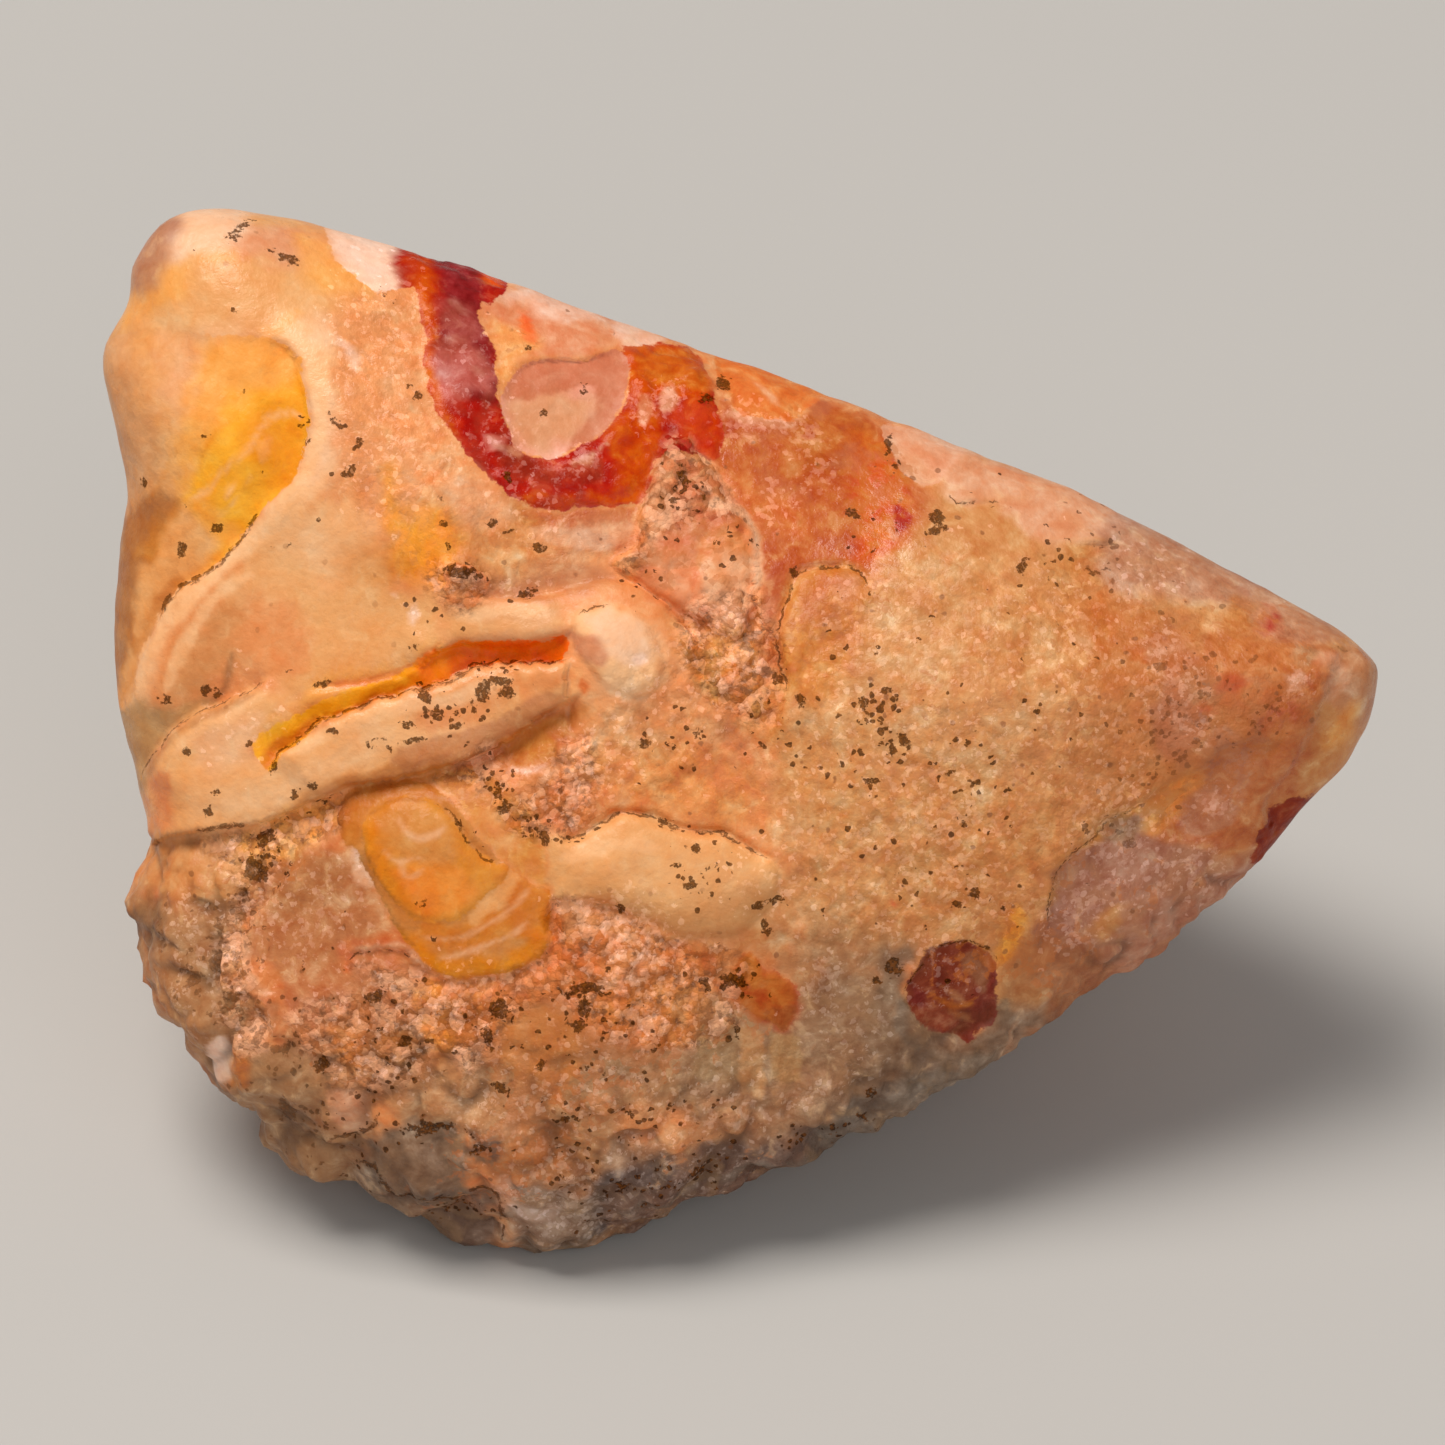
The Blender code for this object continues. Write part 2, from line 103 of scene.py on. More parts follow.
# Broad swells and dips: u, v, radius, height.
SWELLS = [
    (-17.0, 12.0, 4.5, 0.9), (-15.5, 18.2, 2.2, 0.5), (-9.5, 9.5, 4.5, 0.5), (-1.2, 3.0, 2.2, 0.8),
    (13.0, 1.0, 8.0, 1.1), (4.0, -0.5, 3.0, -0.5), (-14.5, -7.5, 3.6, -1.0), (-1.0, -11.0, 4.0, 0.3),
    (-7.0, 5.9, 1.0, 0.5), (5.0, -12.5, 3.6, -0.5), (24.5, 1.0, 3.0, 0.4), (20.0, -5.5, 2.5, -0.4),
    (8.0, 9.5, 3.0, -0.4), (-5.0, -0.7, 1.1, -0.4),
]

WAVES = [(7.0, 0.55), (3.0, 0.28), (1.5, 0.12)]
GRAPE_SIZE = 4.2
GRAPE_HEIGHT = 0.75
GRAPE_FADE = (-6.0, 0.0)
FACE_WAVES = 0.4
RELIEF_FADE = (-4.5, 0.5)

# Lines and outlines of the face, in pixels. A line's high side is on the left of its run, as the camera
# sees it.

LINES = {
    "sheet edge": [(262, 338), (285, 345), (300, 370), (308, 420), (304, 462), (287, 488), (250, 525),
        (215, 567), (180, 590), (152, 632), (133, 680), (120, 716)],
    "second roll": [(275, 673), (252, 691), (229, 702), (201, 712), (175, 727), (157, 748), (136, 787)],
    "slab top": [(578, 664), (570, 658), (560, 661), (549, 665), (540, 662), (529, 666), (517, 661),
        (506, 665), (496, 662), (486, 668), (475, 666), (464, 673), (455, 673), (446, 680), (436, 682),
        (424, 688), (410, 690), (397, 697), (380, 700), (366, 706), (350, 709), (337, 717), (324, 720),
        (312, 729), (303, 735), (291, 745), (282, 749), (276, 757), (266, 772)],
    "slab foot": [(141, 848), (190, 831), (249, 826), (301, 805), (350, 787), (401, 776), (460, 761),
        (501, 743), (540, 717), (583, 694)],
    "upper roll foot": [(411, 671), (450, 648), (475, 645), (504, 648), (540, 643), (578, 625)],
    "upper roll top": [(732, 663), (689, 632), (666, 604), (635, 586), (604, 581), (565, 591), (519, 599),
        (470, 599), (434, 612)],
    "gloss fold": [(452, 632), (437, 652), (400, 674), (360, 684), (325, 690), (300, 700)],
    "pocket brow": [(507, 380), (527, 365), (576, 358), (622, 352)],
    "scale edge": [(1031, 961), (1041, 930), (1051, 894), (1059, 866), (1087, 843), (1103, 823),
        (1144, 799), (1190, 766)],
    "tip facet": [(1282, 843), (1267, 807), (1293, 766), (1318, 720), (1331, 679), (1349, 632)],
    "lower facet": [(1150, 832), (1172, 800), (1200, 768), (1240, 742), (1290, 745)],
    "brown scale": [(1066, 548), (1085, 543), (1105, 542), (1118, 538), (1140, 520)],
    "field scale": [(940, 486), (958, 503), (985, 503), (1010, 500)],
    "crust lip": [(757, 545), (752, 600), (775, 640), (787, 690), (770, 740)],
    "lower crust lip": [(340, 965), (352, 952), (380, 949), (405, 953), (420, 968), (470, 980), (512, 968),
        (548, 948), (552, 905), (610, 902), (650, 930), (700, 948)],
    "grey curl": [(305, 860), (262, 905), (240, 960), (262, 1020), (300, 1046), (345, 1062)],
    "bump rim": [(571, 625), (585, 610), (605, 605), (622, 606)],
    "sheet seam": [(266, 508), (250, 525), (215, 567), (180, 590), (160, 622)],
    "lump seam": [(372, 1100), (376, 1118), (366, 1132), (338, 1139), (318, 1132)],
    "foot seam": [(186, 833), (215, 828), (252, 825)],
    "under seam": [(350, 1157), (372, 1170), (396, 1197), (440, 1202), (482, 1192), (504, 1210),
        (503, 1240)],
    "curl seam": [(345, 972), (348, 956), (365, 952), (385, 951), (405, 955), (417, 968)],
    "brow seam": [(622, 350), (617, 338), (609, 322)],
    "lobe seam": [(548, 836), (578, 836), (600, 823), (622, 813), (660, 822), (690, 833), (720, 833),
        (745, 848), (776, 864)],
    "eye seam": [(424, 800), (440, 808), (452, 820), (468, 839), (486, 857), (506, 869)],
    "nail seam": [(790, 700), (776, 650), (778, 620), (786, 600), (798, 575), (830, 567), (860, 574),
        (873, 597)],
    "lip seam": [(1040, 930), (1058, 866), (1090, 842), (1112, 822), (1150, 800)],
    "knob seam": [(905, 1000), (907, 984), (918, 967), (932, 948), (946, 940), (961, 938), (977, 945),
        (993, 956), (998, 974)],
}

OUTLINES = {
    "amber": [(243, 338), (262, 336), (285, 345), (298, 357), (306, 400), (309, 425), (306, 450),
        (297, 475), (285, 490), (250, 525), (237, 547), (215, 567), (180, 588), (168, 605), (150, 632),
        (138, 655), (128, 706), (90, 710), (70, 500), (80, 360), (150, 330), (200, 332)],
    "top patch": [(331, 220), (425, 240), (426, 262), (415, 280), (400, 292), (380, 296), (365, 288),
        (345, 268), (336, 252)],
    "hook": [(411, 255), (440, 245), (478, 262), (505, 270), (508, 290), (492, 303), (479, 304), (485, 330),
        (493, 350), (497, 375), (497, 395), (502, 410), (510, 430), (522, 450), (540, 458), (555, 459),
        (575, 452), (590, 442), (605, 430), (620, 410), (628, 390), (627, 370), (622, 352), (660, 343),
        (690, 351), (703, 366), (714, 385), (715, 400), (723, 425), (722, 446), (713, 462), (700, 456),
        (680, 452), (655, 460), (650, 476), (640, 500), (610, 505), (580, 508), (545, 508), (520, 502),
        (500, 488), (482, 468), (462, 448), (448, 425), (432, 402), (426, 380), (428, 345), (420, 320),
        (416, 290)],
    "pocket": [(500, 405), (507, 380), (527, 365), (575, 358), (622, 352), (629, 378), (618, 410),
        (604, 430), (590, 442), (555, 460), (522, 450), (509, 430)],
    "slot": [(254, 750), (268, 732), (285, 722), (320, 706), (350, 690), (385, 678), (412, 663), (440, 650),
        (472, 642), (505, 642), (540, 641), (556, 636), (565, 634), (567, 640), (566, 655), (564, 661),
        (556, 662), (520, 663), (498, 664), (475, 668), (456, 672), (440, 681), (420, 687), (398, 697),
        (374, 700), (344, 712), (325, 722), (306, 733), (294, 746), (279, 752), (270, 768), (260, 762)],
    "eye": [(335, 822), (342, 801), (360, 788), (385, 780), (415, 779), (440, 792), (470, 824), (490, 848),
        (508, 868), (528, 884), (548, 892), (551, 915), (549, 940), (542, 955), (520, 966), (480, 977),
        (440, 973), (412, 950), (392, 917), (372, 880), (352, 850)],
    "eye centre": [(359, 832), (366, 813), (385, 802), (410, 799), (434, 804), (450, 819), (468, 839),
        (486, 857), (506, 868), (496, 886), (480, 903), (462, 917), (438, 922), (418, 918), (400, 906),
        (383, 886), (368, 861)],
    "long lobe": [(548, 838), (578, 836), (600, 823), (622, 813), (660, 821), (690, 833), (720, 833),
        (745, 848), (775, 864), (780, 885), (768, 905), (735, 930), (690, 935), (650, 920), (610, 904),
        (553, 900)],
    "nail lobe": [(778, 645), (778, 620), (784, 603), (798, 575), (830, 567), (860, 574), (873, 597),
        (862, 615), (840, 632), (806, 645), (795, 690)],
    "bump": [(570, 628), (578, 611), (600, 604), (624, 606), (644, 617), (657, 638), (663, 665), (656, 690),
        (636, 698), (612, 690), (590, 668), (576, 650)],
    "red knob": [(905, 1000), (907, 984), (918, 968), (923, 955), (932, 948), (946, 940), (961, 938),
        (977, 945), (993, 956), (998, 974), (997, 990), (1001, 1006), (994, 1021), (979, 1030), (970, 1042),
        (950, 1037), (930, 1030), (916, 1015)],
    "red edge": [(1246, 862), (1253, 840), (1266, 820), (1282, 804), (1300, 795), (1320, 798), (1305, 840),
        (1270, 872)],
    "conchoid": [(884, 424), (950, 440), (962, 455), (948, 470), (935, 481), (918, 484), (905, 478),
        (895, 460)],
    "wedge": [(722, 350), (840, 388), (812, 402), (800, 420), (770, 422), (745, 414), (730, 400)],
    "orange grain": [(731, 978), (738, 962), (748, 952), (757, 962), (763, 973), (776, 974), (791, 984),
        (798, 1000), (788, 1027), (772, 1023), (744, 1008), (734, 996)],
    "crust hump": [(676, 434), (704, 452), (738, 498), (757, 545), (752, 600), (735, 640), (700, 622),
        (665, 600), (640, 585), (612, 566), (620, 553), (637, 545), (639, 520), (642, 500), (650, 475),
        (656, 458)],
    "knot": [(446, 575), (458, 562), (476, 568), (488, 582), (478, 600), (462, 610), (450, 598)],
}

# Ledges: rise, shoulder, fade, drop, reach of the drop, in mm.
LEDGES = {
    "sheet edge": (0.26, 1.2, 2.6, 0.24, 1.2),
    "second roll": (0.35, 0.9, 2.2, 0.40, 1.2),
    "slab top": (0.45, 0.5, 2.0, 0.50, 0.7),
    "slab foot": (0.20, 2.0, 2.6, 0.60, 1.3),
    "upper roll foot": (0.40, 0.7, 1.2, 0.35, 0.6),
    "upper roll top": (0.22, 0.8, 1.6, 0.22, 0.8),
    "gloss fold": (0.18, 0.5, 1.4, 0.12, 0.5),
    "pocket brow": (0.05, 0.3, 1.0, 0.10, 0.4),
    "scale edge": (0.12, 0.3, 1.5, 0.32, 2.0),
    "tip facet": (0.10, 0.5, 1.2, 0.35, 1.4),
    "lower facet": (0.05, 0.4, 1.0, 0.30, 1.6),
    "brown scale": (0.08, 0.3, 0.8, 0.12, 0.8),
    "field scale": (0.06, 0.3, 0.8, 0.10, 0.6),
    "crust lip": (0.12, 0.4, 1.0, 0.25, 0.8),
    "lower crust lip": (0.00, 0.4, 1.0, 0.22, 0.7),
    "grey curl": (0.16, 0.5, 1.2, 0.22, 0.8),
    "bump rim": (0.00, 0.3, 0.8, 0.10, 0.4),
}
LEDGE_END = 1.1

# Closed forms: height and shoulder in mm. A negative height is a hollow.
PADS = {
    "eye": (0.20, 1.4), "eye centre": (0.10, 0.3), "long lobe": (0.50, 2.0), "nail lobe": (0.12, 0.8),
    "crust hump": (0.50, 0.8), "pocket": (-0.12, 0.4), "red knob": (-0.15, 0.4), "hook": (0.20, 0.8),
    "bump": (0.36, 1.3), "orange grain": (0.10, 0.2), "knot": (0.22, 0.4), "wedge": (-0.10, 0.3),
    "conchoid": (-0.12, 0.4), "amber": (-0.06, 0.2),
}

# Narrow cracks: half width and depth in mm.
CRACKS = {
    "nail seam": (0.20, 0.22), "eye seam": (0.20, 0.22), "lobe seam": (0.20, 0.24),
    "lump seam": (0.25, 0.30),
}

# Dark lines of painted shade in the crevices and along the ledges: half width in mm at their widest.
SEAM_SHADES = {
    "sheet seam": 0.10, "slab top": 0.05, "second roll": 0.03, "foot seam": 0.09, "eye seam": 0.06,
    "lobe seam": 0.05, "nail seam": 0.05, "brow seam": 0.035, "curl seam": 0.05, "lump seam": 0.07,
    "under seam": 0.08, "field scale": 0.035, "bump rim": 0.03, "lip seam": 0.03, "knob seam": 0.04,
}
# How far a line of painted shade reaches, where it starts to fade across its run, and how it thins to its
# ends, in mm.
SEAM_SHADE_REACH = 0.45
SEAM_SHADE_CORE = 0.25
SEAM_SHADE_TAPER = 0.8
SEAM_SHADE_END = 0.05

# Fine surface: how far waves push the lines aside, size and height in mm.
WARPS = [(1.6, 0.14), (0.6, 0.07)]
CRUMB_LUMPS = [(1.6, 0.20), (0.8, 0.16)]
SUGAR_WAVES = [(1.1, 0.10), (0.5, 0.09)]
WAXY_WAVES = [(2.0, 0.07), (0.8, 0.03)]
CRINKLE_LUMPS = [(1.4, 0.16), (0.7, 0.10)]
COARSE_LUMPS = [(3.0, 0.42), (1.5, 0.30), (0.7, 0.12)]
# Where a lump ends and its crease begins, the crumbs' share on the back, and the depths over which a crease
# fills with painted shade.
LUMP_LEVEL = 0.22
BACK_CRUMBS = 0.5
CREASE_SHADE_DEPTHS = (0.06, 0.28)

# Tones of the washes and strokes, as they look in full light.
TONES = {
    "peach": "#E48E52", "blush": "#EE9558", "pale": "#F4BC92", "cream": "#F5AC6C", "beige": "#E8A262",
    "tan": "#D08A4E", "stone": "#BE8A52", "gold": "#F6A244", "amber": "#F6940E", "deep amber": "#E07E08",
    "honey": "#D27826", "orange": "#D65806", "flame": "#F46400", "fire": "#C44202", "ember": "#DC4C00",
    "apricot": "#F8903E", "russet": "#BA5018", "rust": "#AA5016", "salmon": "#E07C3A", "clay": "#B86C40",
    "rose": "#DE8A60", "shell": "#E4A07A", "brown": "#A05C2A", "umber": "#644424", "khaki": "#CC803E",
    "mauve": "#AC6C52", "dusk": "#B87A5C", "taupe": "#9E7048", "grey": "#765C46", "ash": "#726050",
    "slate": "#342C30", "red": "#AC1202", "wine": "#741A1E", "maroon": "#863820", "pink": "#C87450",
    "white": "#FCD0B6", "ivory": "#FABC84", "sand": "#D49464", "cinnamon": "#C06A20", "wheat": "#F0A868",
    "oxblood": "#8C2C10", "saffron": "#FEAC1C", "petal": "#EA9E84", "coral": "#CC6A5C", "ochre": "#D88630",
}

# Outlines that wash the ground and, once more, the inlays. Along the left edge the wash is painted shade,
# where the lobe turns away.
SHADED_LEFT_EDGE = [(90, 335), (130, 330), (148, 420), (160, 470), (140, 505), (110, 500), (95, 420)]
UPPER_LEFT = [(180, 340), (240, 335), (270, 380), (250, 430), (200, 440), (165, 400)]

# Washes: tone, strength, softness in mm and outline, laid in order. The ground lies under the whole face.
GROUND = [
    ("beige", 1, .4, [(95, 190), (330, 190), (350, 262), (376, 298), (335, 325), (300, 330), (262, 336),
        (243, 338), (230, 400), (210, 520), (237, 547), (215, 567), (180, 588), (150, 632), (138, 655),
        (130, 700), (85, 700), (85, 330)]),
    ("pale", .5, 1.0, UPPER_LEFT),
    # Painted shade down the left edge, where the lobe turns away.
    ("tan", .7, .8, SHADED_LEFT_EDGE),
    ("rose", .8, .4, [(235, 225), (335, 235), (345, 265), (300, 265), (250, 262), (225, 250)]),
    ("gold", .7, .4, [(300, 236), (332, 240), (345, 265), (370, 292), (352, 300), (325, 292), (302, 270)]),
    ("gold", .6, .4, [(135, 268), (185, 262), (230, 250), (235, 262), (200, 270), (186, 295), (150, 310),
        (120, 325)]),
    ("pale", .9, .4, [(168, 225), (195, 200), (250, 208), (250, 228), (235, 245), (205, 250), (180, 262),
        (165, 250)]),
    ("mauve", .8, .4, [(125, 240), (160, 205), (180, 220), (165, 255), (152, 285), (130, 290)]),
    ("peach", 1, .6, [(330, 305), (376, 298), (420, 285), (430, 345), (430, 400), (470, 460), (500, 495),
        (470, 540), (400, 520), (300, 520), (335, 450), (325, 360)]),
    ("ivory", .9, .3, [(262, 330), (290, 318), (320, 325), (335, 350), (332, 420), (335, 470), (320, 500),
        (290, 520), (262, 540), (240, 560), (222, 580), (200, 600), (185, 615), (165, 640), (155, 665),
        (140, 705), (115, 712), (133, 660), (160, 612), (180, 588), (215, 567), (250, 525), (285, 490),
        (300, 470), (309, 425), (300, 360), (285, 345)]),
    ("pale", .7, .5, [(308, 400), (330, 395), (335, 440), (325, 480), (305, 485), (312, 440)]),
    ("pale", .4, .4, [(300, 310), (330, 310), (335, 350), (315, 350)]),
    ("wheat", .8, .6, [(290, 510), (340, 500), (385, 540), (380, 580), (300, 600), (260, 590), (250, 565)]),
    ("ivory", .5, .8, [(300, 520), (370, 510), (370, 560), (310, 570)]),
    ("amber", .6, .4, [(383, 470), (400, 470), (403, 520), (388, 530)]),
    ("blush", .5, .8, [(430, 430), (480, 450), (510, 500), (470, 520), (430, 500), (415, 460)]),
    ("khaki", .7, .8, [(440, 500), (500, 500), (540, 540), (560, 570), (530, 590), (480, 585), (455, 560)]),
    ("amber", .85, .6, [(400, 515), (440, 510), (455, 535), (450, 570), (430, 585), (405, 580),
        (395, 550)]),
    ("honey", .6, .6, [(350, 545), (400, 540), (405, 590), (370, 595), (345, 580)]),
    ("peach", .9, .8, [(200, 600), (240, 575), (300, 585), (330, 600), (320, 640), (300, 665), (255, 688),
        (205, 704), (165, 706), (150, 690), (170, 650), (185, 615)]),
    ("stone", .4, .6, [(190, 640), (215, 605), (240, 610), (230, 660), (210, 690), (165, 705), (165, 690)]),
    ("beige", .7, .5, [(245, 560), (300, 560), (320, 590), (300, 600), (250, 590), (215, 600), (220, 585)]),
    ("beige", .95, .4, [(300, 600), (340, 590), (395, 588), (440, 600), (452, 625), (440, 650), (400, 670),
        (345, 685), (300, 700), (255, 735), (245, 725), (250, 700), (290, 680), (310, 650)]),
    ("gold", .7, .3, [(330, 672), (400, 664), (440, 642), (452, 650), (430, 672), (395, 690), (345, 706),
        (300, 725), (262, 740), (255, 728), (300, 698)]),
    ("beige", .6, .5, [(250, 690), (290, 682), (300, 700), (270, 720), (245, 742), (235, 730), (245, 705)]),
    ("stone", .9, .3, [(105, 712), (165, 704), (205, 705), (200, 714), (175, 728), (160, 745), (152, 765),
        (145, 795), (100, 780)]),
    ("wheat", 1, .3, [(252, 692), (228, 702), (200, 712), (175, 727), (158, 745), (150, 770), (145, 800),
        (160, 838), (190, 831), (250, 826), (300, 805), (350, 786), (400, 775), (460, 760), (500, 742),
        (540, 716), (578, 698), (590, 672), (568, 661), (520, 664), (440, 680), (345, 712), (279, 750),
        (269, 767), (250, 755), (250, 735), (262, 715), (280, 695)]),
    ("pale", .5, .5, [(195, 735), (240, 715), (262, 725), (245, 760), (215, 780), (200, 765)]),
    ("ivory", .5, .5, [(200, 780), (265, 770), (290, 790), (270, 815), (215, 825), (190, 815)]),
    ("ivory", .5, .5, [(275, 765), (330, 742), (400, 715), (440, 720), (470, 735), (400, 755), (330, 775),
        (285, 790)]),
    ("wheat", .6, .4, [(275, 752), (305, 736), (345, 716), (398, 702), (430, 690), (430, 705), (380, 720),
        (330, 745), (300, 765), (275, 775)]),
    ("salmon", .7, .5, [(400, 700), (440, 682), (500, 670), (560, 668), (575, 680), (540, 700), (490, 715),
        (430, 725)]),
    # Painted shade over the slab's lower side, where it rounds down.
    ("deep amber", .6, .5, [(300, 800), (350, 780), (420, 757), (480, 740), (540, 708), (560, 705),
        (510, 745), (460, 765), (400, 780), (350, 792), (290, 814)]),
    ("orange", .5, .3, [(153, 778), (168, 775), (170, 800), (172, 830), (160, 838), (152, 815)]),
    ("peach", 1, .4, [(446, 607), (470, 599), (520, 599), (565, 591), (605, 580), (635, 586), (665, 605),
        (690, 632), (722, 652), (730, 700), (720, 760), (600, 760), (560, 720), (590, 690), (578, 660),
        (568, 640), (540, 642), (505, 648), (475, 645), (450, 649)]),
    ("beige", .8, .3, [(455, 612), (500, 603), (560, 605), (568, 620), (560, 630), (510, 633), (470, 640),
        (452, 636)]),
    ("sand", .5, .3, [(480, 607), (550, 605), (560, 615), (520, 625), (480, 625)]),
    # Painted shade under the upper roll.
    ("sand", .5, .2, [(478, 640), (505, 632), (545, 628), (565, 625), (560, 638), (540, 642), (505, 648)]),
    ("salmon", .5, .5, [(655, 600), (690, 630), (720, 655), (700, 670), (670, 640), (645, 610)]),
    ("tan", .5, .9, [(600, 700), (700, 690), (720, 740), (650, 760), (600, 750)]),
    ("blush", .4, .8, [(640, 640), (700, 650), (710, 700), (660, 720), (610, 700), (620, 670)]),
    ("blush", .8, .5, [(566, 600), (620, 595), (665, 630), (675, 680), (640, 700), (590, 690), (566, 650)]),
    ("ivory", .9, .30, OUTLINES["bump"]),
    ("pale", 1, .25, [(582, 620), (600, 608), (624, 609), (642, 620), (654, 640), (656, 662), (640, 668),
        (618, 655), (600, 640)]),
    # Painted highlight on the bump.
    ("white", .7, .06, [(636, 656), (644, 654), (650, 660), (644, 666), (636, 663)]),
    # Painted shade on the bump's lower left side.
    ("pink", .75, .2, [(569, 632), (582, 634), (598, 642), (606, 656), (600, 666), (584, 660), (573, 648)]),
    ("cinnamon", .9, .25, [(494, 742), (510, 728), (530, 718), (552, 710), (578, 706), (575, 725),
        (562, 745), (550, 762), (525, 765), (502, 764)]),
    ("honey", .5, .2, [(520, 728), (552, 716), (560, 730), (545, 752), (525, 756)]),
    # Painted shade to the right of and below the bump.
    ("rust", .4, .9, [(690, 650), (730, 650), (765, 690), (770, 750), (740, 790), (715, 760), (720, 710)]),
    ("honey", .6, .8, [(590, 750), (700, 750), (750, 770), (780, 830), (740, 835), (690, 830), (640, 815),
        (600, 800)]),
    ("salmon", .7, .4, [(555, 775), (600, 800), (640, 812), (600, 820), (560, 835), (540, 830),
        (530, 800)]),
    ("rose", .9, .4, [(478, 280), (520, 285), (600, 305), (650, 325), (640, 350), (622, 352), (575, 358),
        (530, 362), (507, 378), (497, 375), (493, 350), (485, 325)]),
    ("gold", .6, .4, [(492, 320), (520, 325), (540, 345), (520, 365), (505, 378), (498, 370), (492, 345)]),
    ("white", .6, .4, [(505, 280), (560, 292), (600, 310), (560, 318), (515, 305)]),
    ("white", .6, .2, [(618, 318), (665, 335), (640, 350), (623, 348)]),
    ("cinnamon", .8, .3, [(500, 492), (520, 505), (560, 510), (600, 509), (640, 503), (642, 530),
        (620, 548), (590, 555), (560, 545), (530, 530)]),
    ("pink", .6, .5, [(545, 518), (630, 512), (636, 540), (590, 552), (560, 540)]),
    ("clay", .7, .5, [(540, 560), (610, 570), (610, 582), (560, 592), (520, 598), (480, 598), (470, 585),
        (520, 578)]),
    ("russet", .95, .3, [(712, 385), (730, 400), (745, 415), (770, 422), (800, 420), (820, 402), (850, 410),
        (880, 420), (900, 455), (918, 485), (945, 500), (940, 540), (915, 560), (880, 575), (860, 574),
        (830, 567), (800, 572), (780, 600), (770, 650), (760, 620), (757, 545), (738, 498), (704, 452),
        (722, 445), (722, 425)]),
    ("orange", .8, .4, [(850, 430), (885, 445), (905, 480), (912, 520), (905, 560), (870, 570), (850, 560),
        (860, 520), (845, 470)]),
    ("salmon", .6, .6, [(740, 480), (800, 500), (800, 540), (760, 530)]),
    ("honey", .8, .4, [(690, 600), (757, 590), (775, 640), (790, 690), (780, 740), (740, 720), (700, 690),
        (680, 640)]),
    ("pink", .4, .4, [(755, 600), (778, 610), (780, 660), (765, 680), (750, 650)]),
    ("tan", 1, .7, [(805, 600), (900, 560), (935, 500), (950, 430), (1130, 490), (1260, 570), (1420, 680),
        (1300, 880), (1050, 1020), (900, 960), (800, 940), (780, 860), (775, 760), (795, 690)]),
    ("tan", .5, 1.2, [(930, 500), (1050, 530), (1100, 560), (1090, 640), (1000, 655), (930, 640),
        (900, 580)]),
    ("shell", .8, .3, [(925, 430), (1000, 460), (1130, 505), (1110, 535), (1080, 545), (1040, 545),
        (1000, 510), (960, 505), (940, 480)]),
    ("honey", .8, .4, [(778, 645), (780, 610), (798, 575), (830, 567), (860, 574), (872, 595), (855, 640),
        (835, 690), (805, 700), (785, 680)]),
    ("rose", .7, .2, [(832, 582), (855, 580), (864, 596), (850, 608), (834, 602)]),
    ("pink", .5, .2, [(800, 600), (820, 592), (826, 612), (808, 622)]),
    ("cinnamon", .6, .2, [(824, 592), (846, 600), (858, 620), (842, 638), (818, 632), (812, 612)]),
    ("honey", .35, 1.5, [(820, 780), (950, 760), (1080, 790), (1040, 900), (900, 930), (820, 900)]),
    ("dusk", .8, .4, [(1105, 520), (1140, 510), (1200, 540), (1265, 580), (1230, 610), (1160, 600),
        (1110, 590), (1085, 560)]),
    ("cinnamon", .6, .3, [(1065, 548), (1100, 542), (1105, 560), (1090, 580), (1070, 572)]),
    ("cinnamon", .5, .7, [(1090, 600), (1150, 605), (1230, 615), (1300, 620), (1340, 640), (1325, 720),
        (1320, 800), (1250, 860), (1200, 850), (1150, 830), (1180, 770), (1150, 740), (1110, 700),
        (1095, 650)]),
    ("orange", .5, .4, [(1085, 590), (1108, 590), (1115, 630), (1100, 650), (1088, 625)]),
    ("mauve", .8, .3, [(1140, 645), (1170, 640), (1200, 655), (1215, 690), (1205, 730), (1190, 765),
        (1165, 765), (1150, 730), (1156, 690)]),
    ("russet", .6, .6, [(1200, 640), (1260, 640), (1330, 650), (1320, 720), (1300, 770), (1240, 720),
        (1210, 700)]),
    ("dusk", .7, .4, [(1250, 585), (1300, 600), (1350, 632), (1330, 650), (1280, 640), (1250, 620)]),
    ("dusk", .6, .4, [(1340, 645), (1375, 650), (1410, 685), (1385, 720), (1345, 740), (1335, 710),
        (1340, 680)]),
    ("shell", .7, .25, [(1315, 655), (1335, 645), (1345, 665), (1335, 700), (1322, 705), (1325, 680)]),
    ("gold", .5, .3, [(1335, 715), (1365, 700), (1355, 735), (1325, 745)]),
    ("russet", .6, .4, [(1150, 830), (1190, 775), (1240, 740), (1290, 760), (1300, 790), (1262, 820),
        (1250, 850), (1205, 855), (1170, 850)]),
    ("apricot", .7, .08, [(1146, 832), (1166, 800), (1192, 776), (1198, 788), (1180, 812), (1160, 834)]),
    ("dusk", .6, .1, [(1198, 745), (1225, 728), (1248, 745), (1242, 800), (1206, 835), (1184, 820)]),
    # Painted highlight on the facet near the tip.
    ("shell", .7, .08, [(1200, 796), (1215, 791), (1222, 805), (1210, 812)]),
    ("cinnamon", .6, .1, [(1225, 600), (1240, 596), (1250, 620), (1245, 660), (1232, 668), (1222, 640)]),
    ("mauve", .6, .1, [(1163, 688), (1190, 698), (1187, 735), (1168, 742), (1153, 715)]),
    ("pink", .7, .1, [(1262, 600), (1280, 612), (1277, 634), (1262, 637), (1255, 618)]),
    ("taupe", .8, .08, [(1294, 652), (1308, 645), (1320, 652), (1314, 666), (1300, 669)]),
    ("russet", .7, .1, [(1262, 692), (1284, 688), (1297, 710), (1281, 724), (1262, 714)]),
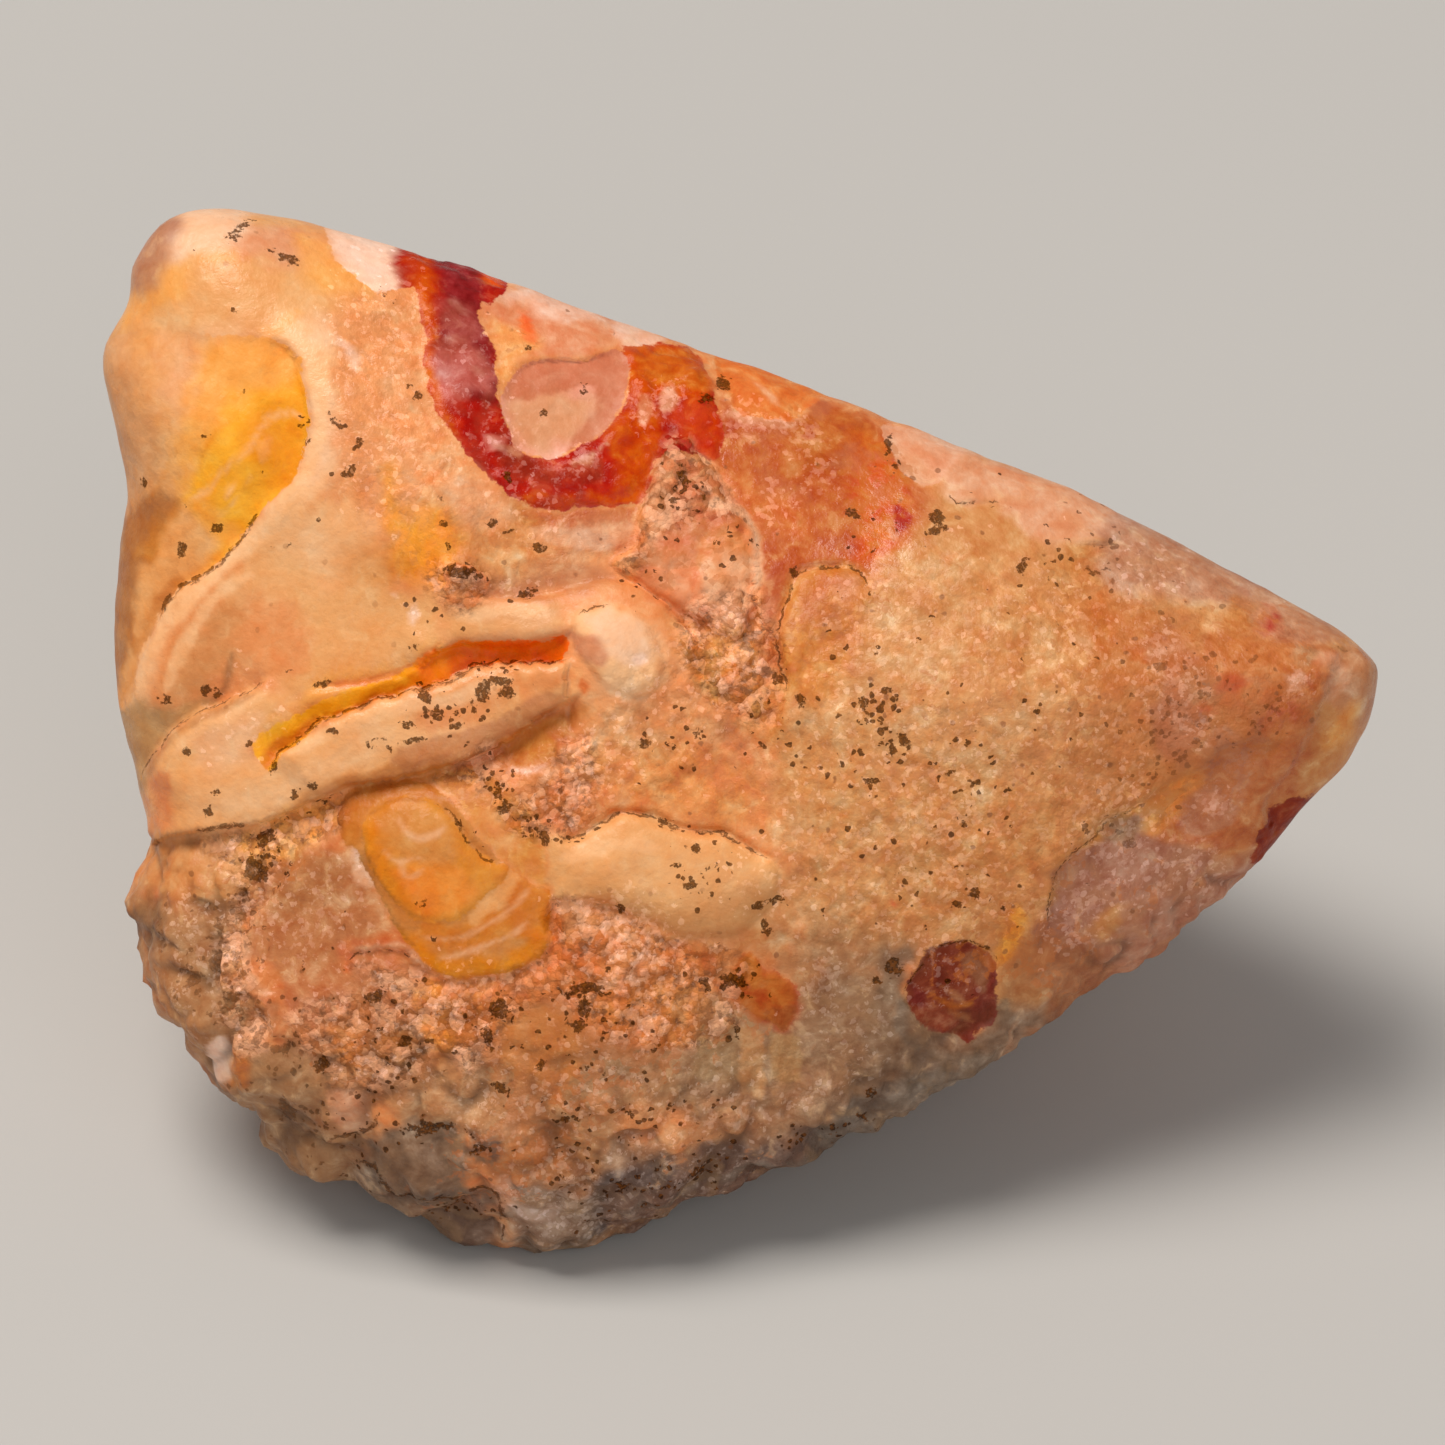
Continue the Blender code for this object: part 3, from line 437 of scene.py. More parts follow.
    ("shell", .8, .06, [(1289, 681), (1301, 674), (1310, 683), (1297, 691)]),
    ("brown", .6, .08, [(1250, 700), (1260, 704), (1263, 726), (1251, 730)]),
    ("clay", .3, .6, [(1100, 600), (1230, 615), (1330, 640), (1320, 760), (1250, 850), (1160, 830),
        (1180, 770), (1140, 720), (1105, 680)]),
    ("gold", .6, .25, [(1062, 862), (1087, 840), (1103, 820), (1145, 800), (1175, 775), (1200, 768),
        (1190, 790), (1150, 830), (1115, 845), (1090, 850), (1070, 868)]),
    ("mauve", .85, .4, [(1050, 900), (1100, 935), (1150, 910), (1200, 890), (1250, 850), (1300, 850),
        (1290, 930), (1180, 1010), (1110, 1060), (1060, 1050), (1030, 960)]),
    ("mauve", .9, .2, [(1036, 930), (1053, 898), (1060, 868), (1090, 844), (1112, 826), (1142, 815),
        (1152, 838), (1195, 847), (1210, 862), (1190, 885), (1160, 905), (1130, 900), (1108, 905),
        (1092, 930), (1060, 930)]),
    ("taupe", .7, .15, [(1100, 822), (1122, 812), (1142, 816), (1140, 835), (1118, 842), (1102, 838)]),
    ("dusk", .5, .4, [(1120, 850), (1190, 850), (1200, 870), (1150, 890), (1120, 880)]),
    ("dusk", .8, .3, [(1130, 895), (1190, 880), (1240, 880), (1230, 920), (1170, 945), (1120, 935)]),
    ("ash", .7, .2, [(884, 955), (900, 945), (920, 948), (912, 970), (902, 985), (900, 1004), (886, 998),
        (880, 975)]),
    ("mauve", .6, .4, [(1190, 850), (1250, 860), (1235, 890), (1195, 885)]),
    ("brown", .7, .4, [(1010, 950), (1060, 940), (1110, 960), (1100, 1000), (1060, 1040), (1010, 1000)]),
    ("ochre", .85, .3, [(415, 772), (460, 764), (510, 790), (545, 836), (550, 890), (530, 884), (508, 868),
        (488, 846), (468, 820), (440, 790)]),
    ("cinnamon", .7, .3, [(345, 800), (365, 778), (400, 768), (440, 770), (470, 780), (462, 796),
        (430, 790), (400, 782), (370, 790)]),
    ("beige", .7, .25, [(476, 812), (492, 806), (510, 822), (522, 842), (508, 852), (490, 838)]),
    ("beige", 1, .2, [(548, 838), (578, 836), (600, 823), (622, 813), (660, 821), (690, 833), (720, 833),
        (745, 848), (775, 864), (782, 890), (765, 910), (730, 928), (690, 930), (650, 918), (610, 904),
        (553, 900)]),
    ("white", .85, .06, [(353, 848), (362, 852), (377, 880), (370, 884), (356, 866)]),
    ("tan", .7, .4, [(600, 895), (680, 905), (760, 885), (790, 900), (740, 945), (660, 935), (600, 915)]),
    ("khaki", .6, .7, [(640, 925), (720, 935), (790, 900), (800, 930), (780, 960), (700, 955), (650, 945)]),
    ("taupe", .6, 1.5, [(790, 930), (850, 925), (900, 950), (900, 1000), (960, 1060), (1060, 1030),
        (1000, 1110), (820, 1200), (700, 1240), (600, 1280), (560, 1200), (700, 1130), (780, 1050),
        (800, 980)]),
    ("grey", .6, .6, [(880, 950), (905, 950), (900, 1010), (930, 1045), (1000, 1060), (1040, 1020),
        (1070, 1040), (980, 1110), (840, 1160), (800, 1130), (860, 1050)]),
    ("ash", .6, .5, [(985, 1045), (1006, 1012), (1040, 1005), (1050, 1030), (1000, 1085), (930, 1105),
        (900, 1070), (925, 1045), (955, 1056)]),
    ("taupe", .5, .8, [(790, 925), (830, 960), (880, 960), (900, 1000), (905, 1060), (860, 1080),
        (800, 1060), (780, 990)]),
    ("taupe", .8, .5, [(590, 1040), (700, 1030), (780, 1030), (770, 1090), (700, 1110), (600, 1100),
        (540, 1080)]),
    ("taupe", .6, .5, [(500, 1045), (560, 1000), (640, 1040), (620, 1090), (540, 1100), (500, 1080)]),
    ("salmon", .95, .25, [(548, 905), (610, 905), (640, 925), (660, 940), (700, 948), (705, 990),
        (690, 1020), (690, 1045), (640, 1048), (600, 1040), (560, 1000), (540, 1000), (500, 1040),
        (470, 1060), (440, 1040), (410, 1005), (425, 975), (470, 980), (512, 968), (546, 950)]),
    ("cream", .7, .15, [(556, 906), (585, 902), (612, 912), (640, 930), (632, 942), (600, 930),
        (570, 922)]),
    ("apricot", .8, .2, [(605, 1000), (650, 985), (696, 990), (696, 1025), (680, 1045), (640, 1042),
        (612, 1025)]),
    ("amber", .7, .15, [(412, 985), (440, 980), (458, 1000), (455, 1040), (440, 1062), (425, 1040)]),
    ("cinnamon", .7, .2, [(430, 1000), (470, 990), (490, 1010), (470, 1035), (440, 1030)]),
    ("khaki", .85, .2, [(500, 1022), (540, 1005), (575, 1030), (580, 1070), (540, 1085), (505, 1068)]),
    ("stone", .7, .25, [(696, 1000), (730, 1005), (760, 1030), (758, 1075), (700, 1080), (692, 1045)]),
    ("grey", .4, .8, [(690, 1035), (780, 1005), (830, 970), (890, 990), (915, 1060), (860, 1110),
        (780, 1150), (700, 1130)]),
    ("stone", .6, .12, [(770, 1036), (796, 1040), (796, 1078), (772, 1074)]),
    ("tan", .6, .08, [(738, 1030), (764, 1034), (762, 1066), (758, 1098), (742, 1096), (740, 1060)]),
    ("flame", .5, .15, [(560, 945), (590, 940), (600, 965), (570, 975)]),
    ("fire", .7, .2, [(700, 950), (715, 955), (720, 985), (750, 960), (770, 975), (800, 1000), (790, 1028),
        (760, 1020), (730, 1000), (710, 985)]),
    ("clay", .8, .8, [(300, 850), (340, 840), (360, 860), (400, 935), (430, 965), (420, 1000), (380, 1010),
        (300, 1010), (260, 960), (260, 900)]),
    ("brown", .3, .6, [(262, 862), (330, 850), (376, 884), (380, 940), (320, 970), (262, 962), (250, 900)]),
    ("brown", .4, .3, [(264, 864), (328, 850), (344, 876), (310, 908), (264, 904)]),
    ("taupe", .8, .8, [(135, 890), (200, 900), (240, 900), (230, 960), (250, 1010), (240, 1060),
        (190, 1070), (150, 1000), (130, 940)]),
    ("tan", .9, .3, [(140, 835), (190, 832), (240, 838), (255, 860), (245, 890), (200, 900), (155, 895),
        (140, 860)]),
    ("umber", .5, .4, [(140, 895), (165, 900), (160, 940), (140, 935)]),
    ("gold", .7, .4, [(240, 838), (300, 808), (340, 797), (340, 820), (300, 850), (262, 862)]),
    ("clay", .6, .4, [(260, 1010), (340, 1000), (400, 1010), (380, 1040), (320, 1050), (270, 1035)]),
    ("apricot", .7, .15, [(332, 1028), (355, 1022), (362, 1045), (352, 1070), (338, 1068)]),
    ("brown", .7, .2, [(362, 1018), (398, 1020), (404, 1050), (380, 1060), (364, 1048)]),
    ("grey", .6, .2, [(258, 1046), (300, 1048), (315, 1090), (306, 1140), (275, 1130), (258, 1090)]),
    ("orange", .5, .3, [(345, 940), (400, 930), (415, 955), (395, 960), (360, 955), (342, 965)]),
    ("grey", .85, .4, [(215, 1080), (262, 1095), (330, 1140), (372, 1160), (400, 1195), (500, 1205),
        (505, 1250), (600, 1240), (600, 1300), (400, 1290), (240, 1200), (180, 1110)]),
    ("taupe", .8, .5, [(230, 1060), (300, 1050), (340, 1080), (370, 1110), (370, 1140), (330, 1185),
        (250, 1145)]),
    ("taupe", .7, .5, [(380, 1060), (460, 1050), (540, 1090), (600, 1100), (600, 1140), (480, 1130),
        (400, 1120), (375, 1090)]),
    ("cinnamon", .6, .4, [(380, 1030), (430, 1040), (440, 1060), (400, 1075), (370, 1065)]),
    ("grey", .9, .3, [(368, 1150), (400, 1125), (450, 1125), (475, 1150), (470, 1185), (440, 1205),
        (400, 1210), (370, 1190)]),
    ("umber", .5, .4, [(480, 1140), (560, 1130), (610, 1150), (600, 1180), (540, 1185), (490, 1180)]),
    ("slate", .5, .3, [(425, 1200), (480, 1195), (505, 1215), (490, 1250), (430, 1240)]),
    ("ash", .8, .3, [(500, 1180), (560, 1170), (600, 1190), (605, 1225), (590, 1265), (530, 1265),
        (505, 1215)]),
    # Painted highlight on a lump at the lower left.
    ("shell", .6, .15, [(328, 1096), (350, 1092), (368, 1110), (362, 1132), (340, 1130)]),
    ("brown", .7, .25, [(530, 1145), (575, 1138), (598, 1160), (590, 1195), (550, 1190), (530, 1170)]),
    # Painted highlight on a lump on the lower edge.
    ("shell", .7, .10, [(494, 1180), (508, 1176), (512, 1200), (500, 1206)]),
    ("slate", .6, .2, [(470, 1128), (500, 1128), (502, 1158), (478, 1164)]),
    ("grey", .6, .3, [(600, 1155), (660, 1140), (670, 1170), (620, 1190)]),
    # Painted shade along the lower edge, where the stone curves under.
    ("slate", .75, .4, [(606, 1170), (640, 1160), (700, 1145), (770, 1135), (860, 1110), (880, 1130),
        (800, 1190), (700, 1230), (610, 1260), (596, 1215)]),
    ("ash", .7, .2, [(820, 1120), (900, 1085), (980, 1050), (990, 1070), (900, 1120), (830, 1150)]),
    ("white", .8, .12, [(212, 1042), (225, 1040), (228, 1065), (222, 1080), (212, 1070)]),
    ("cinnamon", .8, .2, [(228, 1055), (250, 1052), (252, 1080), (235, 1082)]),
    ("apricot", .95, .25, [(612, 566), (635, 545), (640, 500), (655, 456), (676, 432), (704, 452),
        (738, 498), (757, 545), (752, 600), (735, 640), (700, 622), (665, 600), (640, 585)]),
    ("cinnamon", .6, .3, [(650, 470), (700, 460), (730, 510), (720, 560), (660, 560), (640, 530)]),
    ("blush", .8, .25, [(618, 562), (655, 540), (690, 530), (745, 528), (758, 580), (742, 632), (700, 618),
        (640, 582)]),
    ("salmon", .8, .12, [(642, 500), (652, 460), (676, 435), (690, 445), (664, 465), (652, 500),
        (645, 540)]),
    ("rust", .3, .3, [(660, 500), (720, 500), (740, 540), (700, 560), (660, 545)]),
    ("gold", .5, .2, [(700, 540), (735, 525), (750, 560), (735, 590), (705, 585)]),
    ("cinnamon", .6, .2, [(655, 460), (680, 445), (700, 462), (695, 500), (670, 510), (655, 490)]),
    ("cream", .8, .15, [(642, 520), (650, 488), (668, 492), (672, 515), (650, 540)]),
    ("ivory", .7, .2, [(702, 570), (725, 548), (750, 560), (750, 600), (732, 622), (706, 612)]),
    ("cinnamon", .8, .1, [(630, 557), (642, 551), (658, 554), (662, 564), (650, 571), (634, 568)]),
    ("coral", .3, .3, [(640, 540), (650, 480), (676, 434), (704, 452), (738, 498), (757, 545), (745, 620),
        (700, 622), (640, 585)]),
    ("russet", .7, .2, [(715, 480), (735, 495), (746, 525), (738, 535), (722, 510)]),
    ("cinnamon", .45, .4, [(796, 428), (850, 412), (882, 440), (862, 474), (806, 462)]),
    ("cinnamon", .22, .2, OUTLINES["nail lobe"]),
    ("pale", .35, .4, [(450, 476), (482, 484), (508, 506), (500, 524), (462, 520)]),
    ("russet", .4, .3, [(800, 430), (836, 418), (852, 440), (830, 462), (806, 456)]),
    ("taupe", .6, .1, [(1182, 678), (1204, 670), (1218, 688), (1210, 706), (1190, 704)]),
    ("clay", .5, .2, [(1146, 628), (1172, 622), (1190, 650), (1176, 672), (1150, 660)]),
    ("tan", .4, .3, [(1036, 640), (1084, 640), (1090, 690), (1044, 694)]),
    ("apricot", .45, .06, [(1142, 812), (1158, 792), (1192, 772), (1200, 782), (1176, 800), (1158, 828)]),
]

# Inlays have crisp edges: their names are their outlines, and their washes lie on the ground's.
INLAYS = [
    "amber", "top patch", "hook", "slot", "eye", "red knob", "red edge", "conchoid", "wedge",
    "orange grain",
]
INLAID = [
    ("beige", 1, .5, [(243, 320), (285, 330), (315, 370), (325, 425), (310, 480), (240, 560), (180, 610),
        (140, 700), (90, 710), (70, 500), (80, 360), (150, 330)]),
    # Painted shade down the left edge, where the lobe turns away.
    ("sand", .7, .8, SHADED_LEFT_EDGE),
    ("shell", .5, 1.0, UPPER_LEFT),
    ("gold", .85, .8, [(215, 345), (320, 330), (330, 430), (320, 490), (245, 560), (185, 500), (178, 450),
        (190, 400)]),
    ("saffron", .75, .7, [(240, 400), (325, 380), (325, 450), (300, 500), (240, 560), (195, 515),
        (182, 495), (212, 450)]),
    ("deep amber", .6, .5, [(258, 410), (300, 400), (320, 450), (300, 485), (265, 480), (250, 445)]),
    ("amber", .7, .25, [(222, 525), (245, 520), (238, 560), (205, 570), (182, 592), (180, 580),
        (210, 555)]),
    ("beige", .8, .3, [(183, 505), (195, 515), (222, 540), (205, 558), (180, 582), (165, 580), (150, 610),
        (140, 600), (160, 545), (170, 520)]),
    ("gold", .7, .25, [(190, 505), (205, 500), (238, 530), (250, 540), (240, 552), (222, 540), (200, 522)]),
    # Painted shade down the left edge below the amber, where the stone turns away.
    ("brown", .75, .25, [(90, 545), (125, 515), (150, 495), (165, 487), (183, 500), (172, 520), (155, 545),
        (145, 570), (135, 600), (128, 650), (112, 690), (85, 690)]),
    ("ochre", .6, .3, [(165, 515), (178, 503), (170, 530), (150, 560), (142, 555), (155, 530)]),
    ("cinnamon", .6, .3, [(160, 590), (180, 585), (165, 615), (140, 650), (130, 645), (145, 615)]),
    ("white", .8, .3, [(325, 215), (425, 235), (430, 270), (400, 300), (360, 295), (340, 268)]),
    ("red", 1, .2, [(400, 245), (520, 260), (505, 330), (510, 400), (530, 450), (580, 440), (610, 410),
        (615, 340), (700, 340), (730, 440), (700, 470), (650, 515), (540, 515), (470, 470), (420, 400),
        (405, 300)]),
    ("fire", .8, .25, [(405, 250), (428, 250), (436, 300), (440, 350), (440, 390), (455, 425), (440, 430),
        (420, 390), (410, 320)]),
    ("wine", .75, .35, [(442, 250), (478, 262), (482, 300), (490, 340), (502, 390), (490, 402), (460, 395),
        (438, 375), (434, 330), (445, 300)]),
    ("coral", .65, .25, [(436, 352), (455, 345), (478, 350), (492, 368), (492, 392), (478, 390), (466, 400),
        (448, 402), (436, 380)]),
    # Partly the hook's grey-purple tone, partly a painted sheen on its left arm.
    ("coral", .35, .25, [(440, 300), (470, 305), (482, 330), (470, 345), (448, 335)]),
    ("maroon", .45, .3, [(500, 430), (520, 450), (560, 468), (600, 455), (600, 480), (550, 485),
        (505, 470)]),
    ("fire", .85, .35, [(605, 425), (640, 400), (660, 410), (655, 455), (640, 510), (600, 510),
        (620, 470)]),
    ("fire", .85, .3, [(615, 340), (700, 340), (715, 385), (700, 400), (660, 400), (630, 405), (625, 380)]),
    ("orange", .6, .2, [(625, 345), (690, 352), (703, 372), (700, 392), (672, 400), (640, 400),
        (626, 385)]),
    ("fire", .7, .2, [(622, 420), (648, 405), (658, 430), (654, 460), (640, 500), (616, 504), (612, 470)]),
    ("ember", .6, .2, [(678, 405), (720, 408), (722, 450), (708, 460), (690, 445), (676, 425)]),
    # Painted highlight on the hook's right arm.
    ("shell", .8, .05, [(663, 392), (671, 388), (677, 394), (680, 402), (674, 409), (665, 411),
        (660, 402)]),
    ("rose", .7, .05, [(640, 402), (648, 398), (654, 408), (650, 420), (642, 424), (637, 412)]),
    # Painted glints along the inner edge of the hook's lower curve: this wash and the next two.
    ("pink", .8, .05, [(571, 462), (586, 458), (598, 450), (606, 442), (608, 446), (598, 458), (586, 468),
        (574, 468)]),
    ("coral", .7, .05, [(484, 442), (494, 438), (504, 434), (507, 438), (500, 446), (490, 452)]),
    ("shell", .6, .05, [(506, 446), (520, 448), (522, 453), (510, 455)]),
    ("cinnamon", .4, .3, [(630, 350), (690, 350), (705, 380), (660, 385)]),
    ("saffron", 1, .4, [(240, 730), (340, 680), (480, 630), (590, 620), (590, 670), (440, 690), (330, 735),
        (260, 785)]),
    ("deep amber", .7, .5, [(370, 685), (400, 660), (440, 645), (450, 690), (400, 705), (370, 712)]),
    ("flame", .8, .4, [(415, 655), (470, 635), (590, 625), (590, 675), (470, 680), (415, 690)]),
    ("ember", .7, .4, [(450, 650), (500, 635), (590, 625), (590, 675), (470, 680), (450, 680)]),
    ("flame", .7, .3, [(485, 640), (520, 645), (580, 630), (590, 656), (520, 660), (485, 660)]),
    ("fire", .6, .12, [(265, 770), (279, 754), (305, 736), (345, 715), (400, 700), (440, 684), (475, 670),
        (475, 662), (438, 674), (396, 691), (343, 706), (301, 727), (272, 747), (262, 760)]),
    ("khaki", 1, .3, [(320, 810), (350, 780), (400, 765), (470, 770), (540, 810), (565, 870), (560, 960),
        (470, 990), (400, 960), (340, 860)]),
    ("cinnamon", .8, .25, [(325, 830), (340, 792), (370, 775), (440, 772), (462, 800), (436, 800),
        (410, 792), (380, 797), (362, 812), (356, 845), (345, 850)]),
    ("honey", .8, .2, [(420, 925), (465, 922), (492, 900), (512, 872), (540, 888), (546, 915), (520, 938),
        (480, 950), (438, 948)]),
    ("deep amber", .85, .2, [(395, 925), (412, 935), (440, 956), (480, 960), (520, 946), (538, 920),
        (546, 892), (560, 900), (556, 965), (500, 985), (430, 985), (400, 955)]),
    ("beige", .75, .08, [(470, 918), (487, 882), (506, 869), (513, 881), (500, 905), (481, 921)]),
    ("maroon", 1, .2, [(890, 930), (1030, 930), (1040, 1060), (980, 1080), (890, 1040)]),
    ("wine", .4, .3, [(978, 985), (1010, 975), (1030, 1030), (975, 1050), (965, 1020)]),
    ("oxblood", 1, .2, [(1235, 800), (1320, 770), (1340, 800), (1280, 890), (1235, 870)]),
    ("shell", .9, .2, [(875, 415), (970, 435), (960, 480), (910, 490), (885, 460)]),
    ("salmon", 1, .2, [(715, 345), (850, 385), (820, 425), (745, 425), (722, 395)]),
    ("russet", .9, .2, [(720, 940), (810, 940), (810, 1040), (720, 1040)]),
    ("cinnamon", .5, .1, [(765, 975), (792, 985), (796, 1003), (778, 1006), (768, 994)]),
    ("brown", .6, .1, [(768, 1008), (796, 1006), (788, 1028), (770, 1024)]),
    ("honey", .6, .1, [(738, 962), (748, 952), (758, 964), (760, 984), (744, 980)]),
]

# What lies over the inlays, with crisp edges too.
TOPS = ["eye centre", "pocket", "knot"]
TOPPED = [
    ("ochre", 1, .3, [(340, 850), (375, 800), (430, 790), (520, 870), (480, 935), (400, 920)]),
    ("apricot", .5, .3, [(400, 870), (440, 860), (470, 880), (465, 910), (430, 915), (405, 895)]),
    ("deep amber", .6, .3, [(360, 832), (372, 822), (385, 850), (410, 895), (430, 915), (405, 905),
        (380, 880)]),
    ("tan", .6, .3, [(380, 815), (430, 810), (455, 835), (450, 860), (410, 862), (385, 845)]),
    ("petal", 1, .3, [(490, 370), (530, 350), (630, 345), (640, 400), (560, 470), (500, 440)]),
    ("sand", .6, .5, [(505, 400), (540, 385), (590, 390), (600, 415), (570, 445), (520, 445)]),
    ("sand", .4, .4, [(515, 400), (570, 395), (590, 410), (570, 445), (530, 445)]),
    # Painted shade under the pocket's overhanging top edge and down its right side.
    ("pink", .85, .1, [(498, 374), (530, 350), (634, 344), (640, 395), (616, 434), (590, 450), (566, 458),
        (586, 426), (596, 402), (590, 388), (560, 394), (526, 398), (504, 394)]),
    ("salmon", 1, .2, [(430, 560), (490, 555), (495, 600), (460, 620), (440, 600)]),
]

# How ragged and soft the edges of washes and strokes are, and how strokes thin out to their tips, in mm.
RAGGED_WAVES = [(1.4, 1.0), (0.5, 0.8)]
WASH_RAGGED = 0.15
SOFT_RAGGED = 0.5
STROKE_RAGGED = 0.10
STROKE_EDGE = (-0.10, 0.12)
STROKE_TIP = 0.4
STROKE_TAPER = 0.4
# Where the face's colours end and the rind's begin, along the face frame's w.
PAINT_FADE = (-7.0, -3.0)

